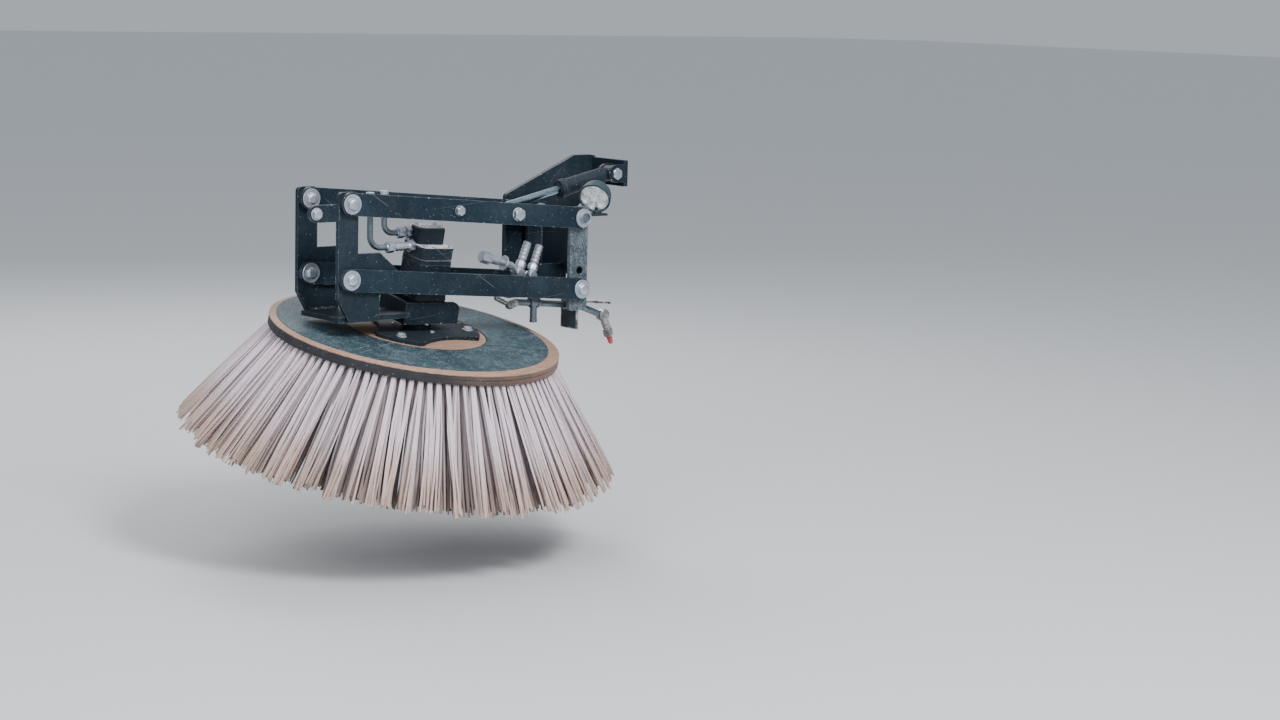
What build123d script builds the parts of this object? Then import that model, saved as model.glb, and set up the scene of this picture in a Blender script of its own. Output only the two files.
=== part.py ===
from build123d import *
import math
import os

# Side brush unit of a street sweeper truck: a wooden disc with splayed tufts, turned by a hydraulic motor.
# Its head hangs on a parallelogram of flat bars from a post on the chassis, and a small cylinder lifts it.
# Millimetres. Origin: centre of the chassis bolt pattern, on the plate's back face. +X to the truck's front,
# +Y into the truck, +Z up. The brush is raised, as the truck drives.

# Parallelogram, seen from the side as (x, z)
ARM_LENGTH = 578.0
ARM_RISE_DEG = 4.8
PIVOT_SPACING = 150.0
FRAME_UPPER = (0.0, PIVOT_SPACING / 2)
FRAME_LOWER = (0.0, -PIVOT_SPACING / 2)
ARM_DX = -ARM_LENGTH * math.cos(math.radians(ARM_RISE_DEG))
ARM_DZ = ARM_LENGTH * math.sin(math.radians(ARM_RISE_DEG))
HEAD_UPPER = (FRAME_UPPER[0] + ARM_DX, FRAME_UPPER[1] + ARM_DZ)
HEAD_LOWER = (FRAME_LOWER[0] + ARM_DX, FRAME_LOWER[1] + ARM_DZ)

# Bars and the plates they turn against, with the y of each front face
BAR_HEIGHT = 45.0
BAR_THICK = 10.0
PLATE_GAP = 2.0
CHEEK_THICK = 10.0
CHEEK_WIDTH = 46.0
FRONT_BAR_Y = -198.0
REAR_BAR_Y = -48.0
FRONT_CHEEK_Y = FRONT_BAR_Y + BAR_THICK + PLATE_GAP
REAR_CHEEK_Y = REAR_BAR_Y + BAR_THICK + PLATE_GAP

# Pivot pins
PIN_RADIUS = 10.0
PIN_CLEARANCE = 0.05
SIDE_CLEARANCE = 0.3
PIN_WASHER_RADIUS = 20.0
PIN_WASHER_THICK = 3.5
PIN_HEAD_RADIUS = 13.0
PIN_HEAD_HEIGHT = 8.0
PIN_HEAD_BORE = 7.5
PIN_BORE_FLOOR = 1.0
PIN_NUT_RADIUS = 14.0
PIN_NUT_HEIGHT = 10.0
PIN_COLLAR_RADIUS = 16.0

# Cross pieces of the arms, measured along the bar from the frame's pivot
TIE_FROM_FRAME = 319.0
LIFT_FROM_FRAME = 172.0
LOWER_TIE_FROM_FRAME = 270.0
TIE_TUBE_RADIUS = 10.0
TIE_BOLT_RADIUS = 6.0
TIE_HEAD_RADIUS = 10.5
TIE_HEAD_HEIGHT = 7.5
TIE_NUT_RADIUS = 10.0
LIFT_PIN_RADIUS = 8.0
LIFT_WASHER_RADIUS = 14.0
LIFT_WASHER_THICK = 2.5
LIFT_HEAD_RADIUS = 13.5
LIFT_HEAD_HEIGHT = 9.0
LIFT_NUT_RADIUS = 13.0
LIFT_NUT_HEIGHT = 12.0
LIFT_SPACER_RADIUS = 11.5

# Chassis frame
MOUNT_THICK = 12.0
MOUNT_SPACING_X = 84.0
MOUNT_SPACING_Z = 170.0
MOUNT_HOLE_RADIUS = 8.75
MOUNT_OUTLINE = [(-65, -112), (65, -112), (65, 20), (176, 122), (176, 192), (118, 192), (-65, 112)]
MOUNT_CORNER = 12.0
WEB_THICK = 9.0
WEB_HALF_HEIGHT = 50.0
FRAME_POST_TOP = 98.0
FRAME_POST_BOTTOM = -122.0
POST_CORNER = 8.0
LOCK_HOLE = (2.0, -36.0)
LOCK_HOLE_RADIUS = 7.5

# Brush head: cheek outline steps from the lower pivot, and the lug on its outer edge
CHEEK_FOOT = 86.0
CHEEK_TOP_CORNER = 10.0
GUSSET_START = (76.0, 50.0)
GUSSET_END = (118.0, 13.0)
CHEEK_SIDE_DROP = 22.0
CHEEK_STEP = (74.0, 34.0)
CHEEK_CUT = (4.0, 38.0)
BRIDGE_THICK = 10.0
BRIDGE_OVERHANG = 14.0
LUG_REACH = 51.0
LUG_HEIGHT = 106.0
LUG_RADIUS = 17.0
LUG_THICK = 8.0
LUG_BOLT_RADIUS = 6.0
LUG_HEAD_RADIUS = 10.5
LUG_HEAD_HEIGHT = 8.0
LUG_NUT_RADIUS = 10.0
LUG_NUT_HEIGHT = 10.0

# Brush axis: centre of the disc's top edge, and how far its upright leans
BRUSH_CENTRE = (-359.0, -105.0, -154.0)
BRUSH_LEAN_X_DEG = 2.91
BRUSH_LEAN_Y_DEG = -10.0

# Brush disc, heights along the brush axis from the top edge
DISC_RADIUS = 300.0
DISC_TOP_RADIUS = 280.5
DISC_TOP_SHIFT = (-10.0, -5.5)
DISC_BEVEL_RISE = 5.5
DISC_WALL = 20.6
BOARD_JOINT = -10.0
RECESS_RADIUS = 146.0
SKIN_THICK = 1.5

# Tuft rows: root radius, tip radius, tip depth, number in the ring, share of a step the row is turned
TUFT_ROWS = [
    (286.0, 449.0, 239.0, 104, 0.0),
    (266.0, 419.0, 246.0, 98, 0.5),
    (246.0, 389.0, 252.0, 92, 0.0),
]
TUFT_ROOT = (11.0, 9.0)
TUFT_TIP = (24.0, 21.0)
TUFT_SEAT = 6.0
TUFT_DEPTH_STEPS = (0.0, 4.0, 1.0, 6.0, 2.0, 5.0)
TUFT_STEP_STRIDE = 5

# Hub plate on the disc: a round plate with a wide scallop between each two of its three lobes
HUB_RADIUS = 132.0
HUB_LOBE_ANGLES = (-140.0, -20.0, 100.0)
HUB_SCALLOP_RADIUS = 146.0
HUB_SCALLOP_CENTRE = 228.0
HUB_CORNER = 12.0
HUB_BOLT_CIRCLE = 110.0
HUB_THICK = 8.0
HUB_BOSS_RADIUS = 30.0
HUB_BOSS_TOP = 25.0
HUB_WASHER_RADIUS = 11.0
HUB_WASHER_THICK = 2.0
HUB_HEAD_RADIUS = 9.0
HUB_HEAD_HEIGHT = 5.5
SHAFT_RADIUS = 12.5
SHAFT_TOP = 62.0
SHAFT_OPENING = 18.5

# Motor bracket and motor, heights along the brush axis
BRACKET_BOTTOM = 31.0
BRACKET_FLOOR = 10.0
BRACKET_HALF_U = 66.5
BRACKET_HALF_V = 47.5
BRACKET_WALL = 8.0
BRACKET_TOP = 76.0
BRACKET_CORNER = 16.0
MOTOR_HALF = 39.0
MOTOR_CORNER = 12.0
MOTOR_SEAM = 162.0
MOTOR_SEAM_WIDTH = 2.0
MOTOR_SEAM_DEPTH = 1.5
MOTOR_SOCKET_DEPTH = 35.0
MOTOR_STEP = 188.0
MOTOR_TOP = 222.0
COVER_HALF_U = 33.0
COVER_FRONT_V = -10.0
COVER_BACK_V = 33.0
COVER_CORNER = 12.0
COVER_CHAMFER = 3.0

# Motor pipes. Columns: x of the upright, y, height of the level run, bend radius, x of the nut, x of the port
PIPE_RUNS = [
    (-494.0, -138.0, 28.0, 24.0, -437.0, -391.0),
    (-446.0, -116.0, 54.0, 20.0, -414.0, -384.0),
]
PIPE_TOP = 118.0
PIPE_RADIUS = 6.0
PIPE_NUT_RADIUS = 12.0
PIPE_NUT_LENGTH = 16.0
ADAPTER_RADIUS = 8.5
PORT_NUT_RADIUS = 13.0
PORT_NUT_LENGTH = 10.0
PORT_SINK = 2.0
FERRULE_RADIUS = 9.0
FERRULE_LENGTH = 22.0

# Lift cylinder, between the arms
CYLINDER_Y = -105.0
ANCHOR = (144.0, 158.8)
BARREL_RADIUS = 18.0
BARREL_LENGTH = 125.0
ROD_RADIUS = 8.0
EYE_RADIUS = 17.0
EYE_WIDTH = 24.0
EYE_DRIFT = 1.5
FOOT_NECK = 8.0
NECK_RADIUS = 11.0
BARREL_BASE = 4.0
ROD_DEPTH = 30.0
PORT_STEPS = (18.0, 92.0)
PORT_RADIUS = 7.5
PORT_LENGTH = 25.0
EAR_GAP = 1.0
EAR_THICK = 8.0
EAR_RADIUS = 19.0
EAR_REACH = 22.0
EAR_WALL_THICK = 10.0
EAR_WALL_HEIGHT = 56.0
ANCHOR_PIN_RADIUS = 8.0
ANCHOR_HEAD_RADIUS = 13.0
ANCHOR_NUT_RADIUS = 12.0
ANCHOR_NUT_HEIGHT = 10.0

# Work lamp: its bracket's legs, the lens, and the shell's section as (radius, distance from the rim)
LAMP_LEG = (5.0, 32.0, 40.0)
LAMP_SHELF = (60.0, 32.0, 5.0)
LAMP_BRACKET_Y = -160.0
LAMP_BRACKET_TOP = 80.0
LAMP_STUD = (64.0, -163.0)
LAMP_STUD_RADIUS = 5.0
LAMP_STUD_LENGTH = 10.0
LAMP_FACING = (-0.72, -0.512, -0.469)
LENS_CENTRE = (47.0, -174.0, 112.0)
LENS_RADIUS = 30.9
LENS_THICK = 8.0
LENS_INSET = 1.0
LAMP_SECTION = [(0, -38), (17, -36), (33, -14), (35, 0), (31, 0), (31, -9), (0, -9)]

# Spray line: bracket section as (x, z), then the pipe, hose end and nozzle in the line's own plane
SPRAY_Y = -135.0
SPRAY_SECTION = [(4, -101), (97, -110), (97, -115), (9, -106.5), (9, -164), (4, -164)]
SPRAY_SHELF = 54.0
SPRAY_RUN = [(-122, -103), (36, -118), (98, -141)]
SPRAY_BEND = 30.0
SPRAY_RADIUS = 7.0
SPRAY_SLOT_RADIUS = 8.5
TEE_ENDS = ((-90, -104), (-66, -107))
TEE_RADIUS = 11.0
DROP_ENDS = ((-79, -104), (-79, -148))
DROP_RADIUS = 8.0
BARB_ENDS = ((-180, -90), (-146, -106))
BARB_RADIUS = 5.5
HOSE_JOINT = (-141, -107)
HOSE_JOINT_RADIUS = 10.0
HOSE_NECK_RADIUS = 8.0
NOZZLE_JOINT = (108, -144)
NOZZLE_JOINT_RADIUS = 14.0
NOZZLE_END = (122, -176)
NOZZLE_RADIUS = 9.0
CAP_ENDS = ((120, -172), (127, -190))
CAP_RADIUS = 12.0
TIP_END = (134, -208)
TIP_RADIUS = 6.0

# Half length of a joint body, as a share of its radius
KNUCKLE_HALF_SHARE = 0.8

# Hose fittings on their strip, in one plane. Columns of the coupling: start, end, radius, is it a hexagon
HOSE_Y = -135.0
STRIP_START_X = -122.0
STRIP_LOW_Z = -61.0
STRIP_HEIGHT = 34.0
STRIP_FRONT_Y = -121.0
STRIP_THICK = 5.0
HOSE_ENDS = ((-121, -40), (-89, -48))
HOSE_BODY_RADIUS = 10.0
HOSE_BODY_FRONT_Y = -147.0
HOSE_END_STEPS = [
    ((0, 0), (6, 16), 8.0, False),
    ((4, 11), (9, 24), 11.0, True),
    ((9, 24), (24, 63), 9.0, False),
]
COUPLING_STEPS = [
    ((-217, -2), (-194, -8), 13.0, True),
    ((-194, -8), (-166, -16), 9.0, False),
    ((-160, -18), (-155, -19.5), 16.0, False),
    ((-166, -16), (-131, -26), 7.0, False),
    ((-140, -24), (-127, -34), 7.0, False),
]


os.makedirs("parts", exist_ok=True)


def along_arm(start, distance):
    """Point on an arm's centre line, as (x, z), at a distance from its frame pivot."""
    return (
        start[0] - distance * math.cos(math.radians(ARM_RISE_DEG)),
        start[1] + distance * math.sin(math.radians(ARM_RISE_DEG)),
    )


def side_plate(profile, front_y, thick):
    """Plate from a profile drawn as (x, z), with its front face at front_y."""
    return extrude(Plane.XZ.offset(-(front_y + thick)) * profile, amount=thick)


def cross_rod(point, front_y, back_y, radius):
    """Round bar along Y at a point given as (x, z)."""
    return side_plate(Pos(point[0], point[1]) * Circle(radius), front_y, back_y - front_y)


def rod_between(start, end, radius):
    """Round bar from one point to another."""
    run = Vector(end) - Vector(start)
    return extrude(Plane(origin=start, z_dir=run) * Circle(radius), amount=run.length)


def hex_between(start, end, radius):
    """Hexagonal bar from one point to another, radius to its corners."""
    run = Vector(end) - Vector(start)
    return extrude(Plane(origin=start, z_dir=run) * RegularPolygon(radius, 6), amount=run.length)


def bent_tube(points, bend, radius):
    """Tube along straight runs with tangent bends."""
    path = FilletPolyline(*points, radius=bend)
    return sweep(Plane(origin=path @ 0, z_dir=(path % 0)) * Circle(radius), path=path)


def at(point, y):
    """Point in space from one drawn as (x, z) in the plane at y."""
    return (point[0], y, point[1])


def knuckle(point, y, radius):
    """Round joint body, turned about Y."""
    half = KNUCKLE_HALF_SHARE * radius
    return cross_rod(point, y - half, y + half, radius)


def group(pieces):
    """Pieces of one body that share a node."""
    return Compound(children=list(pieces))


def save(shape, node):
    """Write one piece under its node name."""
    export_step(shape, f"parts/{node}.step")


# Brush frame: u along the truck, v across it, w up the brush axis
lean_x = math.tan(math.radians(BRUSH_LEAN_X_DEG))
lean_y = math.tan(math.radians(BRUSH_LEAN_Y_DEG))
axis = Vector(lean_x, lean_y, 1).normalized()
along = (Vector(1, 0, 0) - axis * axis.X).normalized()
brush_place = Plane(origin=BRUSH_CENTRE, x_dir=along, z_dir=axis).location


def flat_bar(start, end, front_y, holes):
    """Bar with round ends from pivot to pivot, with a running hole at each point in holes."""
    middle = ((start[0] + end[0]) / 2, (start[1] + end[1]) / 2)
    length = math.dist(start, end) + BAR_HEIGHT
    turn = math.degrees(math.atan2(start[1] - end[1], start[0] - end[0]))
    profile = Pos(*middle) * Rot(0, 0, turn) * SlotOverall(length, BAR_HEIGHT)
    for point, radius in holes:
        profile -= Pos(*point) * Circle(radius)
    return side_plate(profile, front_y, BAR_THICK)


def arm_bars(frame_pivot, head_pivot, extra_holes, name):
    """Front and rear bar of one arm."""
    running = PIN_RADIUS + PIN_CLEARANCE
    holes = [(frame_pivot, running), (head_pivot, running)] + extra_holes
    save(flat_bar(frame_pivot, head_pivot, FRONT_BAR_Y, holes), f"{name}_bar_front")
    save(flat_bar(frame_pivot, head_pivot, REAR_BAR_Y, holes), f"{name}_bar_rear")


def bolt_head(point, face_y, radius, height):
    """Hexagon head in front of a face."""
    profile = Pos(*point) * RegularPolygon(radius, 6)
    return side_plate(profile, face_y - height, height)


def nut(point, face_y, radius, height):
    """Hexagon nut behind a face."""
    return side_plate(Pos(*point) * RegularPolygon(radius, 6), face_y, height)


def build_arms():
    """Both arms of the parallelogram with their ties and the lift pin."""
    tie = along_arm(FRAME_UPPER, TIE_FROM_FRAME)
    lift = along_arm(FRAME_UPPER, LIFT_FROM_FRAME)
    lower_tie = along_arm(FRAME_LOWER, LOWER_TIE_FROM_FRAME)
    arm_bars(FRAME_UPPER, HEAD_UPPER, [(tie, TIE_BOLT_RADIUS), (lift, LIFT_PIN_RADIUS)], "upper")
    arm_bars(FRAME_LOWER, HEAD_LOWER, [], "lower")
    inner_front = FRONT_BAR_Y + BAR_THICK
    rear_back = REAR_BAR_Y + BAR_THICK
    tie_tube = cross_rod(tie, inner_front, REAR_BAR_Y, TIE_TUBE_RADIUS)
    tie_bolt = cross_rod(tie, FRONT_BAR_Y, inner_front, TIE_BOLT_RADIUS)
    tie_bolt += cross_rod(tie, REAR_BAR_Y, rear_back, TIE_BOLT_RADIUS)
    tie_bolt += bolt_head(tie, FRONT_BAR_Y, TIE_HEAD_RADIUS, TIE_HEAD_HEIGHT)
    tie_bolt += nut(tie, rear_back, TIE_NUT_RADIUS, TIE_NUT_RADIUS)
    save(tie_tube + tie_bolt, "upper_arm_tie")
    washer_front = FRONT_BAR_Y - LIFT_WASHER_THICK
    pin = cross_rod(lift, FRONT_BAR_Y, rear_back, LIFT_PIN_RADIUS)
    pin += cross_rod(lift, washer_front, FRONT_BAR_Y, LIFT_WASHER_RADIUS)
    pin += bolt_head(lift, washer_front, LIFT_HEAD_RADIUS, LIFT_HEAD_HEIGHT)
    pin += nut(lift, rear_back, LIFT_NUT_RADIUS, LIFT_NUT_HEIGHT)
    eye_half = EYE_WIDTH / 2 + EAR_GAP
    for low, high in ((inner_front, CYLINDER_Y - eye_half), (CYLINDER_Y + eye_half, REAR_BAR_Y)):
        pin += cross_rod(lift, low, high, LIFT_SPACER_RADIUS)
    save(pin, "lift_pin")
    save(cross_rod(lower_tie, inner_front, REAR_BAR_Y, TIE_TUBE_RADIUS), "lower_arm_tie")


def pivot_pin(point, bar_y, bored):
    """Shoulder bolt: hexagonal or bored round head on a thick washer, shank through bar and cheek with a collar
    between them, nut behind."""
    cheek_y = bar_y + BAR_THICK + PLATE_GAP
    cheek_back = cheek_y + CHEEK_THICK
    washer_back = bar_y - SIDE_CLEARANCE
    washer_y = washer_back - PIN_WASHER_THICK
    head_y = washer_y - PIN_HEAD_HEIGHT
    pin = cross_rod(point, washer_back, cheek_back, PIN_RADIUS)
    pin += cross_rod(point, washer_y, washer_back, PIN_WASHER_RADIUS)
    pin += cross_rod(point, cheek_y - PLATE_GAP + SIDE_CLEARANCE, cheek_y, PIN_COLLAR_RADIUS)
    pin += nut(point, cheek_back, PIN_NUT_RADIUS, PIN_NUT_HEIGHT)
    if not bored:
        return pin + bolt_head(point, washer_y, PIN_HEAD_RADIUS, PIN_HEAD_HEIGHT)
    pin += cross_rod(point, head_y, washer_y, PIN_HEAD_RADIUS)
    return pin - cross_rod(point, head_y, washer_y - PIN_BORE_FLOOR, PIN_HEAD_BORE)


def build_pins():
    """The eight pivot bolts, four on the chassis frame and four on the head."""
    for upper, lower, node, bored in (
        (FRAME_UPPER, FRAME_LOWER, "frame_pivot_bolts", True),
        (HEAD_UPPER, HEAD_LOWER, "head_pivot_bolts", False),
    ):
        pins = []
        for bar_y in (FRONT_BAR_Y, REAR_BAR_Y):
            pins.append(pivot_pin(upper, bar_y, bored))
            pins.append(pivot_pin(lower, bar_y, False))
        save(group(pins), node)


def build_frame():
    """Chassis plate, web and the two posts that carry the arms."""
    plate = make_face(Polyline(*MOUNT_OUTLINE, close=True))
    plate = fillet(plate.vertices(), MOUNT_CORNER)
    for x in (-MOUNT_SPACING_X / 2, MOUNT_SPACING_X / 2):
        for z in (-MOUNT_SPACING_Z / 2, MOUNT_SPACING_Z / 2):
            plate -= Pos(x, z) * Circle(MOUNT_HOLE_RADIUS)
    save(side_plate(plate, -MOUNT_THICK, MOUNT_THICK), "mount_plate")
    web_x = (CHEEK_WIDTH - WEB_THICK) / 2
    front_back = FRONT_CHEEK_Y + CHEEK_THICK
    web = Pos(web_x, (front_back - MOUNT_THICK) / 2)
    web *= Box(WEB_THICK, -MOUNT_THICK - front_back, 2 * WEB_HALF_HEIGHT)
    rear_slot = Pos(web_x, REAR_CHEEK_Y + CHEEK_THICK / 2) * Box(WEB_THICK, CHEEK_THICK, 2 * WEB_HALF_HEIGHT)
    save(web - rear_slot, "frame_web")
    for cheek_y, bottom, node in (
        (FRONT_CHEEK_Y, FRAME_POST_BOTTOM, "frame_post_front"),
        (REAR_CHEEK_Y, -FRAME_POST_TOP, "frame_post_rear"),
    ):
        height = FRAME_POST_TOP - bottom
        profile = Pos(0, (FRAME_POST_TOP + bottom) / 2) * RectangleRounded(CHEEK_WIDTH, height, POST_CORNER)
        for pivot in (FRAME_UPPER, FRAME_LOWER):
            profile -= Pos(*pivot) * Circle(PIN_RADIUS)
        if node == "frame_post_front":
            profile -= Pos(*LOCK_HOLE) * Circle(LOCK_HOLE_RADIUS)
        save(side_plate(profile, cheek_y, CHEEK_THICK), node)


def build_head():
    """Cheeks, bracket and lug of the brush head."""
    upper_x, upper_z = HEAD_UPPER
    lower_x, lower_z = HEAD_LOWER
    half = CHEEK_WIDTH / 2
    foot = lower_z - CHEEK_FOOT
    outline = Polyline(
        (upper_x - half, upper_z + half),
        (upper_x + half, upper_z + half),
        (lower_x + half, lower_z + GUSSET_START[1]),
        (lower_x + GUSSET_START[0], lower_z + GUSSET_START[1]),
        (lower_x + GUSSET_END[0], lower_z + GUSSET_END[1]),
        (lower_x + GUSSET_END[0], lower_z - CHEEK_SIDE_DROP),
        (lower_x + CHEEK_STEP[0], lower_z - CHEEK_STEP[1]),
        (lower_x + CHEEK_STEP[0], foot),
        (lower_x + CHEEK_CUT[0], foot),
        (lower_x - half, lower_z - CHEEK_CUT[1]),
        close=True,
    )
    face = make_face(outline)
    face = fillet(face.vertices().sort_by(Axis.Y)[-2:], CHEEK_TOP_CORNER)
    for pivot in (HEAD_UPPER, HEAD_LOWER):
        face -= Pos(*pivot) * Circle(PIN_RADIUS)
    save(side_plate(face, FRONT_CHEEK_Y, CHEEK_THICK), "head_cheek_front")
    save(side_plate(face, REAR_CHEEK_Y, CHEEK_THICK), "head_cheek_rear")
    build_bracket(lower_x, foot)
    build_lug(upper_x - half)


def build_bracket(lower_x, foot):
    """Open tray that carries the motor, with the bridge plate that joins it to both cheeks."""
    width, depth = 2 * BRACKET_HALF_U, 2 * BRACKET_HALF_V
    floor_top = BRACKET_BOTTOM + BRACKET_FLOOR
    wall_height = BRACKET_TOP - floor_top
    wall_middle = (floor_top + BRACKET_TOP) / 2
    tray = Pos(0, 0, BRACKET_BOTTOM + BRACKET_FLOOR / 2) * Box(width, depth, BRACKET_FLOOR)
    wall = Pos(0, wall_middle) * Rectangle(width, wall_height)
    wall = fillet(wall.vertices().sort_by(Axis.Y)[-2:].sort_by(Axis.X)[-1:], BRACKET_CORNER)
    for back_v in (-BRACKET_HALF_V + BRACKET_WALL, BRACKET_HALF_V):
        tray += extrude(Plane.XZ.offset(-back_v) * wall, amount=BRACKET_WALL)
    side_u = -BRACKET_HALF_U + BRACKET_WALL / 2
    tray += Pos(side_u, 0, wall_middle) * Box(BRACKET_WALL, depth, wall_height)
    tray -= Pos(0, 0, BRACKET_BOTTOM) * Cylinder(SHAFT_OPENING, 3 * BRACKET_FLOOR)
    tray = brush_place * tray
    low_y, high_y = FRONT_CHEEK_Y + CHEEK_THICK, REAR_CHEEK_Y
    left = lower_x - BRIDGE_OVERHANG
    right = BRUSH_CENTRE[0] - BRACKET_HALF_U + BRACKET_WALL / 2
    bridge = Pos((left + right) / 2, (low_y + high_y) / 2, foot + BRIDGE_THICK / 2)
    bridge *= Box(right - left, high_y - low_y, BRIDGE_THICK)
    save(tray + bridge, "motor_bracket")


def build_lug(edge_x):
    """Lug on the head's outer edge, with its bolt."""
    centre = (edge_x - LUG_REACH, LUG_HEIGHT)
    tongue = Pos(edge_x - LUG_REACH / 2, LUG_HEIGHT) * Rectangle(LUG_REACH, 2 * LUG_RADIUS)
    tongue += Pos(*centre) * Circle(LUG_RADIUS)
    tongue -= Pos(*centre) * Circle(LUG_BOLT_RADIUS)
    save(side_plate(tongue, FRONT_CHEEK_Y, LUG_THICK), "stay_lug")
    bolt = cross_rod(centre, FRONT_CHEEK_Y, FRONT_CHEEK_Y + LUG_THICK, LUG_BOLT_RADIUS)
    bolt += bolt_head(centre, FRONT_CHEEK_Y, LUG_HEAD_RADIUS, LUG_HEAD_HEIGHT)
    save(bolt + nut(centre, FRONT_CHEEK_Y + LUG_THICK, LUG_NUT_RADIUS, LUG_NUT_HEIGHT), "stay_lug_bolt")


def build_motor():
    """Hydraulic motor on the tray, with its end cover set back from the front."""
    seat = BRACKET_BOTTOM + BRACKET_FLOOR
    block = RectangleRounded(2 * MOTOR_HALF, 2 * MOTOR_HALF, MOTOR_CORNER)
    inner = 2 * (MOTOR_HALF - MOTOR_SEAM_DEPTH)
    body = extrude(Plane.XY.offset(seat) * block, amount=MOTOR_STEP - seat)
    seam = block - RectangleRounded(inner, inner, MOTOR_CORNER - MOTOR_SEAM_DEPTH)
    body -= extrude(Plane.XY.offset(MOTOR_SEAM) * seam, amount=MOTOR_SEAM_WIDTH)
    body -= extrude(Plane.XY.offset(seat) * Circle(SHAFT_RADIUS + PIN_CLEARANCE), amount=MOTOR_SOCKET_DEPTH)
    save(brush_place * body, "motor_body")
    cover = Pos(0, (COVER_FRONT_V + COVER_BACK_V) / 2)
    cover *= RectangleRounded(2 * COVER_HALF_U, COVER_BACK_V - COVER_FRONT_V, COVER_CORNER)
    cover = extrude(Plane.XY.offset(MOTOR_STEP) * cover, amount=MOTOR_TOP - MOTOR_STEP)
    cover = chamfer(cover.faces().sort_by(Axis.Z)[-1].edges(), COVER_CHAMFER)
    save(brush_place * cover, "motor_cover")
    return brush_place * body + brush_place * cover


def build_pipes(motor):
    """Two bent steel pipes that come down into the motor's ports, with their nuts and adapters."""
    pipes, fittings = [], []
    for upright_x, y, level_z, bend, nut_x, port_x in PIPE_RUNS:
        run = [(upright_x, y, PIPE_TOP), (upright_x, y, level_z), (nut_x, y, level_z)]
        pipes.append(bent_tube(run, bend, PIPE_RADIUS))
        nut_end, port_start = nut_x + PIPE_NUT_LENGTH, port_x - PORT_NUT_LENGTH
        fitting = hex_between((nut_x, y, level_z), (nut_end, y, level_z), PIPE_NUT_RADIUS)
        fitting += rod_between((nut_end, y, level_z), (port_start, y, level_z), ADAPTER_RADIUS)
        fitting += hex_between((port_start, y, level_z), (port_x + PORT_SINK, y, level_z), PORT_NUT_RADIUS)
        ferrule_top = (upright_x, y, PIPE_TOP + FERRULE_LENGTH)
        fitting += rod_between((upright_x, y, PIPE_TOP), ferrule_top, FERRULE_RADIUS)
        fittings.append(fitting - motor)
    save(group(pipes), "motor_pipes")
    save(group(fittings), "motor_pipe_fittings")


def build_disc():
    """Upper board, worn more on one side than the other, its grey skin, and the hub plate that drives it."""
    top = DISC_BEVEL_RISE
    board = extrude(Plane.XY.offset(BOARD_JOINT) * Circle(DISC_RADIUS), amount=-BOARD_JOINT)
    face = Pos(*DISC_TOP_SHIFT) * Circle(DISC_TOP_RADIUS)
    board += loft([Circle(DISC_RADIUS), Plane.XY.offset(top) * face])
    save(brush_place * board, "brush_disc")
    skin = Plane.XY.offset(top) * (face - Circle(RECESS_RADIUS))
    save(brush_place * extrude(skin, amount=SKIN_THICK), "brush_disc_skin")
    plate = Circle(HUB_RADIUS)
    for angle in HUB_LOBE_ANGLES:
        between = angle + 180 / len(HUB_LOBE_ANGLES)
        plate -= Rot(0, 0, between) * Pos(HUB_SCALLOP_CENTRE, 0) * Circle(HUB_SCALLOP_RADIUS)
    plate = fillet(plate.vertices(), HUB_CORNER)
    hub = extrude(Plane.XY.offset(top) * plate, amount=HUB_THICK)
    hub += extrude(Plane.XY.offset(top) * Circle(HUB_BOSS_RADIUS), amount=HUB_BOSS_TOP - top)
    hub += extrude(Plane.XY.offset(top) * Circle(SHAFT_RADIUS), amount=SHAFT_TOP - top)
    save(brush_place * hub, "hub_plate")
    bolts = []
    for angle in HUB_LOBE_ANGLES:
        washer = Plane.XY.offset(top + HUB_THICK) * Circle(HUB_WASHER_RADIUS)
        head = Plane.XY.offset(top + HUB_THICK + HUB_WASHER_THICK) * RegularPolygon(HUB_HEAD_RADIUS, 6)
        bolt = extrude(washer, amount=HUB_WASHER_THICK) + extrude(head, amount=HUB_HEAD_HEIGHT)
        bolts.append(brush_place * Rot(0, 0, angle) * Pos(HUB_BOLT_CIRCLE, 0) * bolt)
    save(group(bolts), "hub_bolts")


def tuft(root_radius, tip_radius, depth):
    """One splayed tuft: a square bunch, rooted inside the board, that spreads towards its tip."""
    root_out, root_round = TUFT_ROOT
    tip_out, tip_round = TUFT_TIP
    height = depth + TUFT_SEAT - DISC_WALL
    low_out = tip_radius - tip_out / 2 - (root_radius - root_out / 2)
    low_round = (root_round - tip_round) / 2
    bunch = Wedge(
        root_out, height, root_round, low_out, low_round, low_out + tip_out, low_round + tip_round, align=None
    )
    start = Pos(root_radius - root_out / 2, -root_round / 2, TUFT_SEAT - DISC_WALL)
    return start * Rot(-90, 0, 0) * bunch


def build_tufts():
    """Lower board with its rings of tufts, whose tips are slightly uneven."""
    board = Pos(0, 0, (BOARD_JOINT - DISC_WALL) / 2) * Cylinder(DISC_RADIUS, BOARD_JOINT + DISC_WALL)
    tufts = []
    for root_radius, tip_radius, depth, count, turned in TUFT_ROWS:
        shapes = [tuft(root_radius, tip_radius, depth + step) for step in TUFT_DEPTH_STEPS]
        for place in range(count):
            angle = 360.0 * (place + turned) / count
            tufts.append(Rot(0, 0, angle) * shapes[place * TUFT_STEP_STRIDE % len(shapes)])
    save(brush_place * board.fuse(*tufts), "bristle_board")


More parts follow.
